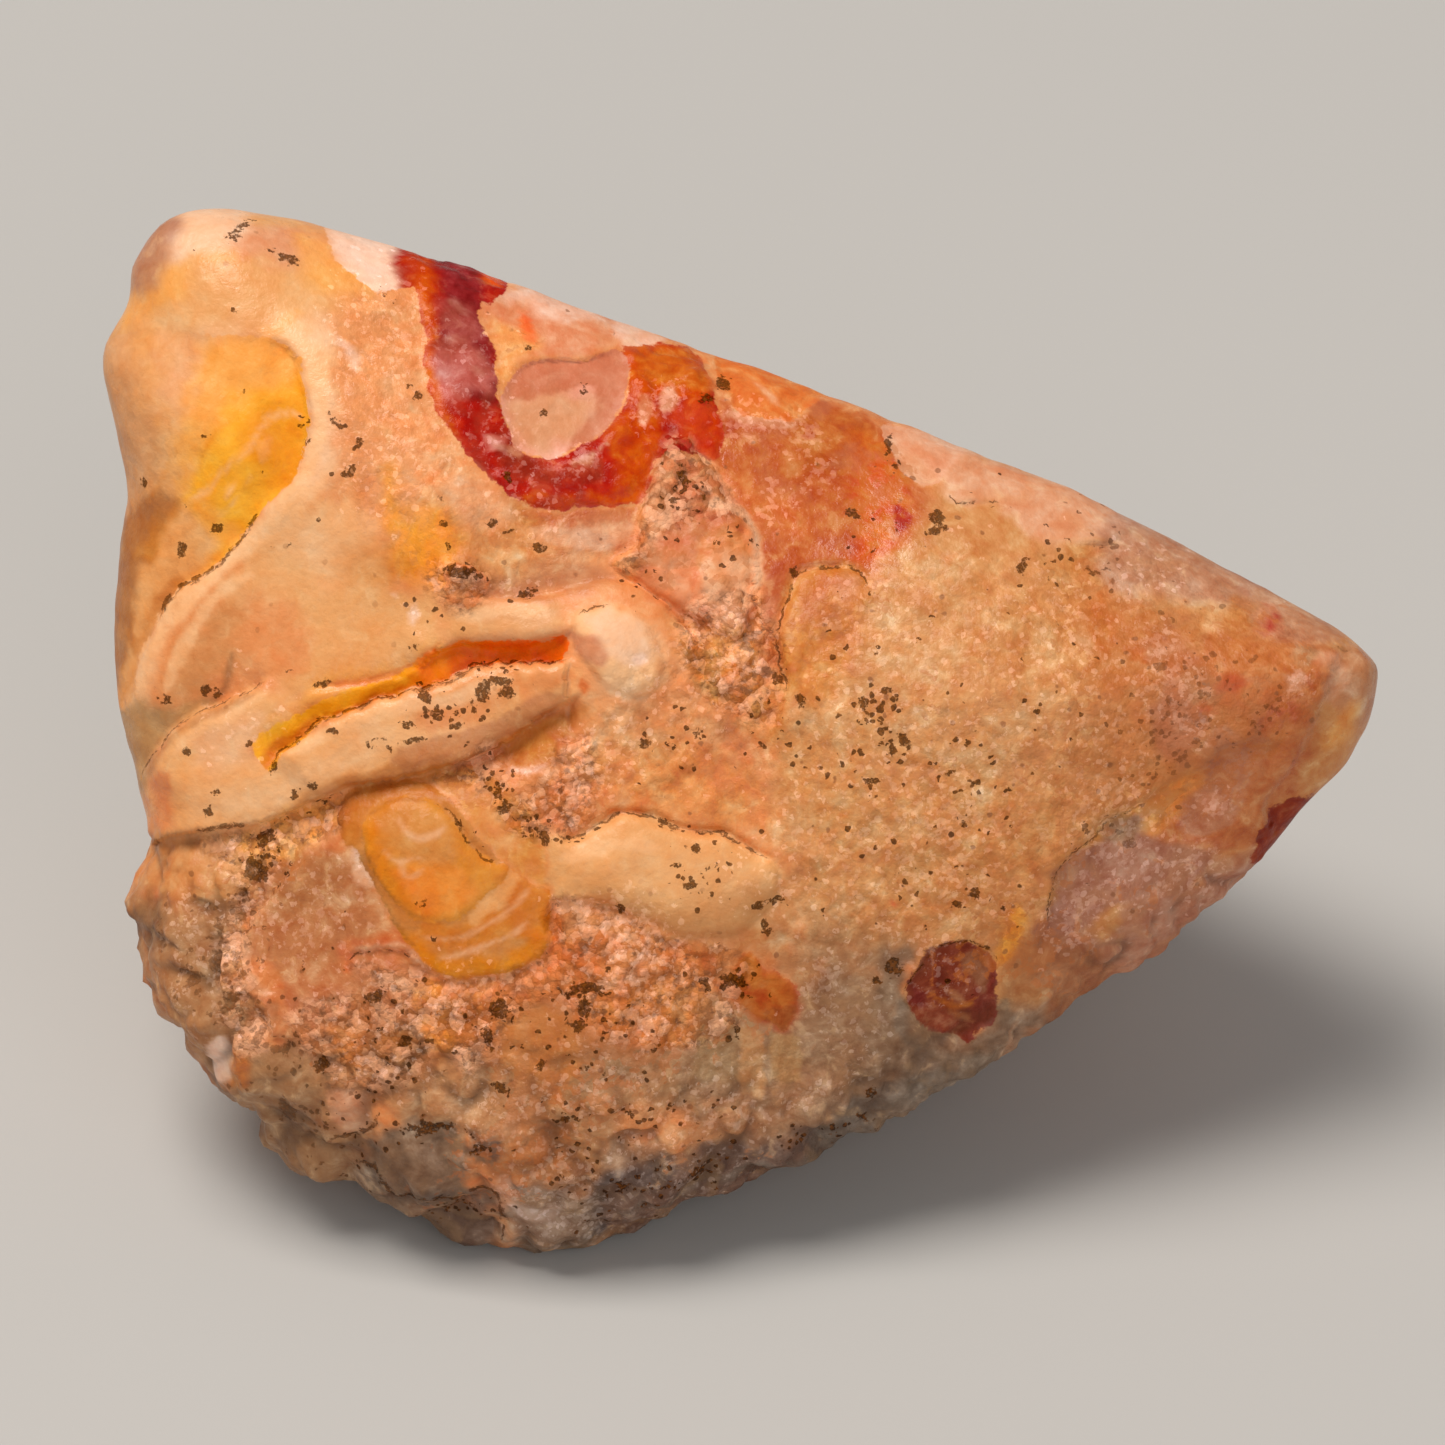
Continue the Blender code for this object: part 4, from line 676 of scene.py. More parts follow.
# Strokes: layer, tone, strength, half width in pixels and line.
STROKES = [
    ("ground", "white", .5, 5, [(338, 340), (352, 352), (360, 370)]),
    ("ground", "ivory", .7, 8, [(296, 335), (314, 372), (320, 420), (310, 470), (285, 500)]),
    ("ground", "ivory", .6, 6, [(268, 520), (240, 553), (205, 587), (175, 620)]),
    ("ground", "ivory", .6, 6, [(250, 575), (222, 592), (196, 625), (176, 665), (165, 690)]),
    ("ground", "ivory", .6, 5, [(268, 692), (235, 712), (200, 730), (175, 752)]),
    ("ground", "ivory", .6, 8, [(290, 752), (340, 728), (395, 710), (450, 698), (510, 680)]),
    ("ground", "ivory", .5, 9, [(215, 800), (260, 800), (300, 782), (345, 765)]),
    ("ground", "ivory", .6, 7, [(458, 618), (500, 611), (545, 609)]),
    ("ground", "ivory", .5, 7, [(560, 858), (610, 846), (660, 848)]),
    # Painted shade over the slab's lower side.
    ("ground", "clay", .6, 12, [(395, 762), (440, 750), (485, 735), (530, 712), (560, 700)]),
    ("ground", "russet", .9, 8, [(1130, 650), (1142, 662)]),
    ("ground", "fire", .9, 7, [(1200, 704), (1210, 712)]),
    ("ground", "cinnamon", .6, 8, [(1094, 600), (1098, 625), (1108, 645)]),
    ("ground", "umber", .45, 5, [(232, 655), (224, 690), (205, 703)]),
    # Painted shade in the crevice along the second roll.
    ("ground", "brown", .45, 4, [(150, 775), (160, 750), (180, 731), (205, 717), (232, 706), (254, 696)]),
    ("ground", "pink", .6, 5, [(448, 770), (475, 758), (500, 752)]),
    ("ground", "white", .7, 2, [(510, 768), (528, 771), (545, 768)]),
    ("ground", "gold", .5, 6, [(300, 312), (282, 325), (262, 330)]),
    ("ground", "orange", .55, 5, [(330, 683), (362, 681), (400, 672), (432, 655), (440, 645)]),
    ("ground", "cream", .6, 6, [(345, 694), (400, 684), (440, 664)]),
    ("ground", "flame", .7, 7, [(522, 312), (526, 330), (534, 343)]),
    # Painted shade along the slab's foot.
    ("ground", "brown", .4, 7, [(300, 800), (350, 783), (400, 772), (460, 757), (500, 738)]),
    # Painted glints on the glossy fold: this stroke and the next.
    ("ground", "white", .5, 4, [(392, 594), (397, 593)]),
    ("ground", "white", .6, 5, [(412, 622), (417, 604)]),
    ("ground", "pale", .35, 8, [(728, 412), (760, 418), (796, 424)]),
    ("ground", "red", .9, 8, [(897, 505), (903, 520), (898, 532)]),
    ("ground", "fire", .8, 6, [(890, 899), (896, 906)]),
    ("ground", "pale", .8, 4, [(706, 503), (733, 505), (750, 525), (758, 552), (755, 585)]),
    ("ground", "honey", .5, 10, [(1000, 905), (1008, 940), (1000, 960)]),
    ("ground", "amber", .6, 9, [(1015, 905), (1012, 935), (1000, 965)]),
    ("ground", "pale", .5, 3, [(352, 948), (380, 946), (405, 948), (418, 962)]),
    ("ground", "orange", .5, 5, [(345, 972), (350, 957)]),
    ("ground", "pale", .6, 10, [(357, 860), (366, 875), (378, 885)]),
    ("ground", "red", .9, 10, [(1218, 689), (1230, 683), (1243, 681)]),
    ("ground", "red", .85, 8, [(1266, 632), (1275, 619)]),
    ("ground", "orange", .8, 6, [(583, 680), (584, 695)]),
    ("ground", "salmon", .5, 14, [(255, 960), (275, 1000)]),
    ("ground", "pale", .4, 5, [(250, 970), (262, 990), (272, 995)]),
    ("ground", "white", .3, 5, [(505, 1190), (520, 1205), (545, 1215), (560, 1210)]),
    ("ground", "grey", .8, 15, [(900, 1006), (914, 1030), (940, 1048), (972, 1050), (994, 1034),
        (1008, 1004)]),
    ("ground", "ash", .5, 4, [(850, 1130), (900, 1100), (960, 1070)]),
    ("ground", "ash", .5, 4, [(620, 1215), (700, 1185), (800, 1155), (830, 1140)]),
    # Painted highlight in the amber.
    ("inlay", "white", .3, 3, [(240, 482), (226, 498)]),
    ("inlay", "ivory", .5, 2, [(185, 505), (212, 488), (240, 460), (262, 428), (285, 414), (300, 418)]),
    ("inlay", "ivory", .35, 2, [(213, 520), (236, 500), (252, 478)]),
    ("inlay", "deep amber", .4, 2, [(150, 500), (166, 470), (168, 440)]),
    ("inlay", "deep amber", .4, 2, [(200, 470), (215, 440), (240, 415), (250, 405)]),
    ("inlay", "cream", .4, 8, [(262, 460), (270, 440)]),
    ("inlay", "pale", .5, 2, [(438, 958), (470, 952), (503, 940), (528, 918)]),
    ("inlay", "pale", .4, 2, [(425, 940), (456, 938), (490, 924), (516, 904), (530, 890)]),
    ("inlay", "umber", .5, 2, [(350, 846), (372, 880), (392, 915), (412, 946)]),
    ("inlay", "brown", .5, 2, [(337, 822), (346, 802), (368, 789), (400, 783), (428, 788)]),
    ("inlay", "flame", .8, 5, [(480, 268), (492, 278), (505, 284)]),
    ("inlay", "fire", .6, 8, [(520, 498), (560, 503), (600, 500), (636, 492)]),
    ("ground", "russet", .5, 6, [(524, 512), (565, 517), (604, 515), (636, 509)]),
    ("ground", "pale", .45, 9, [(534, 530), (570, 539), (604, 538), (630, 527)]),
    ("inlay", "sand", .5, 3, [(942, 984), (955, 996), (962, 1002)]),
    ("inlay", "wine", .6, 9, [(914, 988), (922, 1006)]),
    ("inlay", "taupe", .35, 9, [(958, 955), (978, 968), (984, 990)]),
    ("inlay", "sand", .5, 4, [(948, 1012), (960, 1016), (972, 1022)]),
    ("inlay", "honey", .6, 3, [(935, 998), (950, 1006), (970, 1003)]),
    # Painted glints on the hook's left arm: this stroke and the next two.
    ("inlay", "white", .15, 3, [(452, 302), (462, 306), (468, 314)]),
    ("inlay", "white", .12, 3, [(446, 335), (455, 345)]),
    ("inlay", "white", .15, 2, [(474, 368), (484, 376)]),
    # Painted glints along the inner edge of the hook's lower curve: this stroke and the next.
    ("inlay", "white", .35, 3, [(485, 436), (500, 448), (512, 452)]),
    ("inlay", "white", .35, 3, [(575, 462), (588, 458), (600, 452)]),
    ("inlay", "orange", .7, 5, [(428, 262), (424, 300), (430, 350), (432, 388), (450, 425)]),
    ("inlay", "pale", .5, 3, [(752, 380), (765, 392), (778, 406)]),
    ("top", "pale", .5, 3, [(398, 822), (412, 838), (430, 836), (444, 828)]),
    ("top", "pale", .4, 2, [(384, 852), (400, 862), (420, 858)]),
    ("top", "pale", .4, 2, [(404, 865), (410, 880), (425, 870)]),
    ("top", "umber", .6, 2, [(360, 836), (368, 860), (385, 888), (404, 908), (420, 918)]),
    ("top", "brown", .6, 2, [(366, 816), (388, 803), (412, 801), (430, 805)]),
    ("top", "slate", .6, 8, [(455, 572), (478, 580)]),
]

# Kinds of skin by outline in pixels.
CRUST_PLACES = [
    (.3, [(612, 566), (637, 545), (642, 500), (658, 456), (676, 434), (704, 452), (738, 498), (735, 520),
        (690, 522), (660, 545), (640, 575)]),
    (.4, [(690, 600), (757, 590), (780, 660), (775, 720), (740, 720), (700, 690), (680, 640)]),
    (.3, [(345, 965), (410, 970), (470, 982), (512, 970), (548, 950), (553, 902), (610, 906), (660, 935),
        (742, 952), (740, 1000), (728, 1040), (620, 1045), (560, 1000), (530, 1010), (500, 1040),
        (470, 1070), (430, 1040), (400, 1000)]),
    (.3, [(430, 780), (455, 765), (480, 745), (500, 750), (510, 790), (545, 775), (560, 740), (595, 745),
        (590, 820), (545, 838), (510, 830), (480, 795)]),
    (.3, [(195, 842), (250, 830), (300, 808), (340, 797), (345, 822), (310, 845), (280, 860), (262, 900),
        (250, 950), (262, 1000), (270, 1050), (235, 1050), (215, 1000), (212, 940), (232, 880)]),
    (.4, [(300, 1000), (420, 1000), (430, 1060), (370, 1100), (300, 1050)]),
    (.3, [(425, 580), (455, 560), (490, 575), (480, 605), (455, 612)]),
]
SUGAR_PLACES = [
    (1., [(800, 600), (930, 540), (1000, 560), (1120, 540), (1320, 640), (1300, 720), (1200, 740),
        (1150, 800), (1060, 870), (1040, 930), (1000, 950), (900, 930), (800, 960), (780, 860), (700, 820),
        (590, 800), (600, 700), (700, 650), (790, 680)]),
    (.8, [(560, 1040), (800, 1040), (950, 1050), (1100, 960), (1200, 900), (1100, 1010), (800, 1180),
        (600, 1230), (450, 1120), (300, 1080), (350, 990), (420, 1000)]),
    (.8, [(340, 300), (420, 295), (430, 400), (500, 500), (640, 520), (620, 560), (480, 590), (400, 560),
        (340, 480)]),
]
CRINKLE_PLACES = [
    (.3, OUTLINES["hook"]),
    (.3, [(650, 530), (690, 522), (740, 522), (757, 560), (742, 632), (700, 618), (640, 582)]),
    (.6, [(340, 300), (420, 295), (428, 400), (480, 480), (440, 510), (360, 480)]),
]
WAXY_PLACES = [
    (1., [(80, 180), (360, 200), (425, 280), (420, 420), (440, 520), (540, 600), (600, 560), (660, 600),
        (680, 690), (600, 720), (540, 730), (340, 800), (140, 850), (60, 600)]),
    (.3, OUTLINES["eye"]),
    (.3, OUTLINES["long lobe"]),
    (.3, OUTLINES["pocket"]),
]
LUMPY_PLACES = [
    (1.2, [(120, 850), (225, 850), (240, 960), (300, 1030), (420, 1050), (560, 1060), (700, 1090),
        (860, 1060), (1060, 980), (1160, 900), (1260, 860), (1200, 1000), (900, 1200), (600, 1280),
        (300, 1240), (120, 1000)]),
]
# What is seen into, free of grains.
CLEAR_SOFTNESS = 0.15
CLEAR_PLACES = [
    "hook", "slot", "eye", "red knob", "pocket", "amber", "red edge", "wedge", "bump", "top patch",
    "orange grain",
]
# How glossy places are: softness in mm, roughness and outline.
MATT_GROUND = 0.44
POLISH = [
    (1., .36, [(100, 200), (350, 200), (400, 400), (450, 600), (560, 640), (540, 720), (350, 790),
        (150, 840), (100, 600)]),
    (.8, .32, [(290, 590), (440, 590), (455, 640), (350, 690), (280, 700)]),
    (.3, .24, OUTLINES["hook"]),
    (.4, .30, [(722, 425), (800, 425), (850, 410), (920, 500), (900, 570), (780, 570), (757, 545),
        (704, 452)]),
    (.3, .27, OUTLINES["eye"]),
    (.3, .28, OUTLINES["red knob"]),
    (.5, .30, [(1150, 830), (1190, 775), (1240, 740), (1330, 640), (1400, 680), (1300, 800), (1250, 860)]),
    (.5, .32, OUTLINES["pocket"]),
    (.6, .34, [(262, 862), (330, 850), (376, 884), (400, 950), (330, 990), (262, 962), (250, 900)]),
]
CRUST_ROUGH = 0.68

NO_BLOT = -1.0
# Dark spots: x, y, half length and half width in pixels, turn in degrees.
SPOTS = [
    (242, 232, 17, 6, 45), (288, 259, 13, 6, -15), (272, 252, 12, 3, -10), (247, 392, 6, 4, 0),
    (219, 528, 7, 6, 0), (180, 549, 8, 8, 0), (350, 473, 11, 6, 10), (360, 441, 6, 4, -20),
    (356, 449, 5, 5, 0), (330, 417, 5, 5, 0), (341, 425, 8, 3, -40), (412, 387, 7, 4, -20),
    (418, 397, 5, 6, 0), (462, 572, 20, 8, -8), (416, 647, 9, 5, 5), (326, 682, 11, 6, 20),
    (286, 669, 8, 4, 20), (207, 690, 6, 8, 0), (217, 693, 5, 7, 0), (166, 700, 6, 5, 0),
    (157, 695, 5, 4, 0), (332, 730, 7, 5, 0), (271, 766, 5, 8, 0), (312, 785, 7, 5, 0), (295, 793, 5, 7, 0),
    (213, 792, 7, 4, 0), (208, 810, 4, 8, 0), (186, 750, 5, 6, 0), (540, 549, 9, 6, 0),
    (527, 593, 10, 5, 20), (492, 522, 7, 5, 0), (510, 530, 9, 5, 0), (683, 475, 7, 13, 10),
    (674, 497, 9, 5, 0), (853, 515, 7, 8, 30), (936, 520, 8, 11, 10), (934, 533, 12, 6, 0),
    (1021, 566, 6, 9, 0), (724, 382, 9, 8, 0), (707, 400, 10, 5, 0), (887, 448, 4, 12, -10),
    (895, 468, 4, 10, -30), (908, 479, 8, 3, -35), (801, 700, 6, 9, 15), (776, 678, 7, 7, 0),
    (792, 575, 5, 7, 0), (545, 837, 7, 11, 20), (585, 988, 28, 7, 3), (583, 1008, 8, 13, 10),
    (576, 1025, 9, 7, 0), (500, 1012, 11, 13, 30), (490, 1040, 7, 18, 10), (730, 980, 11, 8, 30),
    (704, 985, 8, 6, 0), (738, 1035, 5, 9, 0), (766, 925, 6, 11, 20), (757, 905, 7, 4, 0),
    (778, 898, 9, 4, 15), (876, 983, 6, 6, 0), (893, 965, 9, 9, 0), (872, 1095, 6, 9, 30),
    (255, 868, 11, 15, 20), (265, 838, 12, 9, 20), (243, 892, 9, 6, 40), (238, 918, 10, 8, 0),
    (218, 935, 6, 19, 10), (214, 965, 10, 14, 0), (190, 980, 9, 11, -30), (230, 1000, 9, 18, -25),
    (262, 1035, 7, 16, -20), (280, 1047, 15, 6, -15), (375, 995, 13, 8, 10), (402, 1045, 10, 7, 20),
    (285, 1110, 9, 15, 0), (430, 1128, 30, 6, 3), (486, 1144, 9, 6, 0), (476, 1151, 5, 4, 0),
    (470, 1208, 13, 4, 0), (446, 1213, 6, 4, 20), (1160, 668, 8, 6, 20), (1203, 694, 7, 5, 0),
    (1183, 755, 8, 5, 30), (1152, 732, 5, 8, 20), (1122, 832, 6, 6, 20), (1085, 830, 5, 9, 20),
    (700, 1170, 12, 4, -15), (728, 1160, 7, 3, 0), (626, 1192, 10, 4, -20), (650, 1182, 6, 4, 0),
    (864, 1118, 12, 4, -28), (1252, 720, 4, 9, 20), (1102, 545, 10, 2, 0), (1092, 573, 6, 4, -20),
    (1108, 568, 5, 4, 0), (1185, 602, 5, 4, 0), (865, 700, 6, 12, -15), (880, 708, 8, 5, 20),
    (884, 690, 10, 5, -10), (905, 742, 7, 10, 40), (893, 748, 6, 8, 0), (870, 780, 9, 5, 0),
    (874, 797, 5, 5, 0), (950, 771, 13, 4, 15), (965, 822, 4, 8, 0), (905, 790, 3, 3, 0),
    (645, 742, 8, 6, 0), (697, 733, 6, 6, 0), (370, 745, 5, 8, 20), (382, 740, 8, 4, 0),
    (391, 752, 4, 7, 20), (425, 695, 8, 8, 0), (436, 713, 7, 9, 0), (483, 690, 9, 13, -10),
    (500, 682, 13, 6, 0), (505, 695, 10, 7, 0), (455, 725, 10, 6, 0), (412, 724, 9, 4, 0),
    (410, 742, 11, 4, 8), (455, 712, 8, 4, 20), (472, 708, 4, 9, 10), (250, 745, 4, 6, 0),
    (495, 793, 6, 10, 0), (505, 808, 9, 6, 20), (690, 885, 9, 5, 20), (678, 868, 6, 4, 0),
    (706, 870, 6, 4, 0), (697, 851, 6, 5, 0), (663, 824, 8, 5, 0), (620, 907, 8, 5, 0), (420, 904, 5, 4, 0),
    (583, 392, 4, 10, -10), (528, 350, 6, 4, 0), (508, 478, 6, 6, 0), (543, 411, 5, 4, 0),
    (380, 292, 3, 7, 0), (388, 301, 8, 2, -30), (1130, 845, 10, 5, 0), (960, 905, 8, 5, 0),
    (975, 893, 5, 7, 0), (1000, 908, 4, 3, 0), (765, 745, 5, 6, 0), (655, 1050, 4, 4, 0),
    (500, 1087, 10, 5, -20), (540, 1068, 8, 5, 30), (568, 1120, 14, 4, 10), (588, 1068, 5, 4, 0),
    (632, 1110, 4, 7, 0), (232, 268, 5, 3, 0), (198, 253, 3, 3, 0), (218, 238, 3, 2, 40),
    (238, 309, 6, 3, 45), (208, 437, 6, 3, 30), (273, 398, 3, 3, 0), (302, 427, 6, 3, 0),
    (308, 441, 4, 5, 0), (262, 473, 4, 2, 0), (187, 505, 3, 3, 0), (146, 480, 4, 6, 20),
    (337, 408, 4, 2, 0), (329, 394, 2, 4, 0), (443, 500, 3, 5, 0), (445, 526, 7, 4, -40),
    (449, 545, 3, 8, 20), (317, 520, 4, 3, 0), (272, 547, 4, 4, 0), (292, 545, 6, 2, 20),
    (1113, 545, 6, 5, 0), (1165, 700, 7, 5, 20), (1180, 715, 8, 4, -30), (1195, 740, 6, 4, 0),
    (1170, 770, 6, 4, 30), (1250, 660, 5, 7, 10), (1218, 668, 6, 5, 0), (1270, 708, 8, 4, 0),
    (320, 1068, 8, 10, 0),
]
# Where dark spots are faint.
FAINT_PLACES = [
    (2., [(1110, 500), (1450, 560), (1450, 900), (1150, 1100), (1080, 900), (1120, 640)]),
    (1., [(100, 880), (245, 880), (300, 1060), (340, 1200), (150, 1200), (100, 1060)]),
]
# Clusters of small dark spots: x, y, radius in pixels, share of the ground that they cover.
SPOT_CLUSTERS = [
    (430, 700, 30, .30), (490, 690, 36, .35), (455, 725, 26, .22), (700, 868, 34, .25), (670, 745, 40, .14),
    (874, 710, 34, .30), (895, 745, 22, .25), (868, 785, 20, .25), (970, 770, 34, .2), (680, 500, 36, .30),
    (735, 545, 26, .22), (495, 790, 20, .40), (535, 825, 22, .35), (230, 950, 44, .22), (200, 985, 30, .35),
    (270, 860, 34, .35), (590, 1010, 40, .18), (500, 1025, 30, .18), (735, 985, 30, .22),
    (1175, 690, 40, .28), (1150, 745, 34, .25), (965, 895, 26, .15), (1000, 640, 200, .02),
    (600, 1080, 120, .05), (400, 1060, 90, .07), (640, 1150, 120, .10), (330, 1110, 80, .12),
    (900, 880, 120, .03), (1060, 800, 100, .03), (460, 630, 60, .04), (330, 430, 40, .05),
    (870, 560, 60, .04), (1080, 560, 60, .05), (640, 580, 40, .15), (320, 1000, 80, .06),
    (800, 720, 60, .12), (1230, 700, 60, .12),
]
# Clusters of white flecks and crumbs, given in the same way.
FLECK_CLUSTERS = [
    (500, 440, 26, .25), (650, 405, 26, .35), (670, 395, 16, .6), (585, 462, 16, .6), (480, 380, 50, .12),
    (740, 425, 26, .45), (800, 440, 22, .5), (822, 478, 22, .45), (775, 505, 26, .4), (380, 320, 60, .15),
    (400, 460, 60, .18), (530, 500, 50, .12), (720, 640, 40, .30), (740, 665, 26, .4), (620, 930, 40, .35),
    (640, 960, 60, .3), (450, 1000, 50, .25), (600, 760, 40, .4), (570, 800, 26, .5), (570, 770, 26, .45),
    (822, 980, 22, .45), (850, 1010, 50, .12), (900, 840, 120, .22), (960, 860, 60, .25),
    (950, 790, 40, .25), (1130, 860, 60, .25), (1200, 870, 26, .4), (1158, 640, 22, .5),
    (1296, 682, 16, .45), (1115, 745, 40, .15), (1108, 808, 38, .4), (1195, 728, 18, .5),
    (1213, 803, 18, .45), (1070, 920, 36, .35), (1172, 690, 34, .5), (960, 700, 150, .12),
    (870, 620, 60, .15), (1150, 570, 40, .1), (300, 900, 60, .12), (330, 940, 60, .12),
    (380, 1040, 60, .15), (250, 880, 40, .2), (210, 940, 50, .25), (640, 1110, 120, .20),
    (560, 1200, 50, .35), (680, 700, 60, .12), (240, 720, 60, .06), (1060, 650, 60, .12),
    (760, 880, 40, .12), (500, 1100, 60, .15), (940, 970, 40, .12),
]

# Bands of dark spots and of flecks: half width in pixels, share and line. They thin out to their tips.
BAND_TIP = 0.3
BAND_TAPER = 0.5
BAND_FAR = 9.0
SPOT_BANDS = [
    (9, .55, [(262, 850), (240, 888), (222, 925), (214, 965), (226, 1005), (250, 1035), (285, 1050)]),
    (6, .45, [(196, 905), (186, 945), (192, 985), (212, 1018)]),
    (5, .35, [(168, 905), (164, 940), (172, 975)]),
    (6, .40, [(275, 1055), (290, 1095), (318, 1128), (360, 1140)]),
    (7, .45, [(395, 1128), (430, 1126), (465, 1132), (490, 1148)]),
    (9, .40, [(420, 1208), (455, 1212), (490, 1206)]),
    (10, .35, [(610, 1195), (660, 1175), (720, 1158), (790, 1142), (850, 1122)]),
    (5, .35, [(250, 836), (290, 818), (330, 800)]),
    (6, .45, [(478, 745), (486, 775), (500, 800), (520, 818), (545, 832)]),
    (4, .45, [(545, 832), (575, 838), (600, 825)]),
    (7, .35, [(560, 985), (600, 990), (612, 1002)]),
    (4, .35, [(1105, 540), (1128, 548), (1150, 560)]),
    (4, .40, [(1060, 866), (1088, 842), (1112, 820)]),
    (6, .35, [(1190, 730), (1160, 760), (1140, 790)]),
    (4, .30, [(430, 812), (470, 830), (500, 862)]),
    (5, .30, [(440, 575), (470, 572), (492, 585)]),
]
FLECK_BANDS = [
    (5, .30, [(180, 900), (172, 950), (185, 1000), (205, 1035)]),
    (5, .30, [(205, 900), (200, 950), (210, 995), (235, 1030)]),
    (5, .30, [(238, 900), (230, 950), (245, 1000), (275, 1032)]),
    (6, .25, [(262, 905), (258, 950), (275, 1000), (310, 1030)]),
    (7, .45, [(730, 414), (765, 420), (800, 428), (830, 440)]),
    (7, .45, [(832, 440), (815, 470), (795, 500)]),
    (5, .40, [(500, 768), (530, 770), (560, 762)]),
    (6, .45, [(552, 905), (580, 903), (610, 912), (640, 930), (665, 942), (695, 950)]),
    (7, .40, [(820, 950), (815, 990), (830, 1030)]),
    (8, .35, [(700, 1120), (760, 1115), (820, 1090), (900, 1060)]),
    (8, .40, [(490, 1180), (530, 1195), (570, 1200), (600, 1185)]),
    (8, .35, [(1050, 925), (1075, 915), (1100, 900)]),
    (6, .45, [(1165, 862), (1190, 868), (1215, 880)]),
    (5, .40, [(335, 345), (350, 360), (365, 385)]),
    (5, .35, [(400, 595), (415, 610), (420, 630)]),
    (5, .35, [(445, 600), (480, 585), (520, 590), (560, 582)]),
    (5, .50, [(730, 615), (745, 630), (745, 660)]),
    (5, .40, [(470, 985), (510, 975), (545, 960)]),
]
# Clusters of rusty grains, given in the same way.
IRON_CLUSTERS = [
    (620, 960, 90, .45), (590, 930, 40, .45), (640, 1010, 60, .5), (480, 1000, 70, .35),
    (540, 1050, 60, .3), (740, 990, 60, .45), (560, 1090, 90, .3), (400, 1020, 60, .3), (340, 1050, 50, .4),
    (250, 1010, 50, .3), (200, 870, 60, .25), (290, 840, 50, .35), (270, 930, 60, .2), (700, 1130, 100, .2),
    (440, 1180, 60, .25), (520, 1160, 60, .3), (780, 470, 90, .3), (880, 500, 50, .4), (700, 560, 60, .35),
    (760, 640, 50, .35), (850, 600, 60, .25), (1100, 620, 50, .4), (1140, 670, 60, .45),
    (1200, 700, 90, .35), (1230, 680, 40, .4), (1130, 740, 70, .35), (1270, 640, 60, .3),
    (1290, 720, 60, .3), (1080, 800, 80, .25), (1200, 790, 60, .3), (1000, 760, 140, .12),
    (900, 700, 120, .10), (960, 600, 120, .08), (1060, 560, 60, .2), (1010, 930, 50, .4),
    (900, 880, 90, .12), (1100, 900, 60, .2), (1180, 900, 60, .25), (1060, 970, 50, .3), (960, 980, 50, .3),
    (530, 760, 60, .25), (480, 780, 40, .4), (560, 800, 40, .35), (650, 780, 80, .2), (430, 560, 60, .3),
    (370, 380, 50, .12), (230, 540, 60, .15), (170, 600, 50, .15), (160, 260, 50, .15), (520, 320, 40, .3),
    (420, 640, 50, .15), (740, 930, 50, .15), (400, 950, 30, .3), (640, 560, 40, .25), (890, 440, 40, .15),
]


def linear(hex_colour):
    """An sRGB hex colour as linear red, green, blue and alpha."""
    channels = [int(hex_colour[index:index + 2], 16) / 255 for index in (1, 3, 5)]
    return tuple(c / 12.92 if c <= 0.04045 else ((c + 0.055) / 1.055) ** 2.4 for c in channels) + (1.0,)


def smooth_step(value, low, high):
    """0 below low, 1 above high and a soft rise between them."""
    share = np.clip((value - low) / (high - low), 0.0, 1.0)
    return share * share * (3.0 - 2.0 * share)


def smooth_curve(points, closed=False, steps=5):
    """Curve through given points, with a few short steps between each two."""
    points = np.array(points, dtype=float)
    if closed:
        padded = np.vstack([points[-1:], points, points[:2]])
    else:
        padded = np.vstack([points[:1], points, points[-1:]])
    before, start, end, after = (padded[first:len(padded) - 3 + first, None] for first in range(4))
    share = (np.arange(steps) / steps)[None, :, None]
    curve = 0.5 * (2.0 * start + (end - before) * share
                   + (2.0 * before - 5.0 * start + 4.0 * end - after) * share ** 2
                   + (3.0 * start - before - 3.0 * end + after) * share ** 3)
    last = points[:1] if closed else points[-1:]
    return np.vstack([curve.reshape(-1, 2), last])


def line_field(curve, u, v, near):
    """Distance to a curve, its side (+1 on the left) and the way to its ends, at points within near of it."""
    gap = np.full(u.shape, np.inf)
    side = np.ones(u.shape)
    along = np.zeros(u.shape)
    low, high = curve.min(axis=0) - near, curve.max(axis=0) + near
    close = np.nonzero((u > low[0]) & (u < high[0]) & (v > low[1]) & (v < high[1]))[0]
    close_u, close_v = u[close], v[close]
    close_gap = np.full(close.shape, np.inf)
    close_side = np.ones(close.shape)
    close_along = np.zeros(close.shape)
    run = 0.0
    for (u0, v0), (u1, v1) in zip(curve[:-1], curve[1:]):
        du, dv = u1 - u0, v1 - v0
        length = math.hypot(du, dv)
        share = np.clip(((close_u - u0) * du + (close_v - v0) * dv) / length ** 2, 0.0, 1.0)
        away_u, away_v = close_u - u0 - share * du, close_v - v0 - share * dv
        distance = np.hypot(away_u, away_v)
        nearer = distance < close_gap
        close_gap = np.where(nearer, distance, close_gap)
        close_side = np.where(nearer, np.where(du * away_v - dv * away_u >= 0.0, 1.0, -1.0), close_side)
        close_along = np.where(nearer, run + share * length, close_along)
        run += length
    gap[close], side[close], along[close] = close_gap, close_side, close_along
    return gap, side, np.minimum(along, run - along)


def on_face_mm(points):
    """Points drawn in pixels, as millimetres across and up the face."""
    return [((x - FACE_PIXEL[0]) / PIXELS_PER_MM, (FACE_PIXEL[1] - y) / PIXELS_PER_MM) for x, y in points]


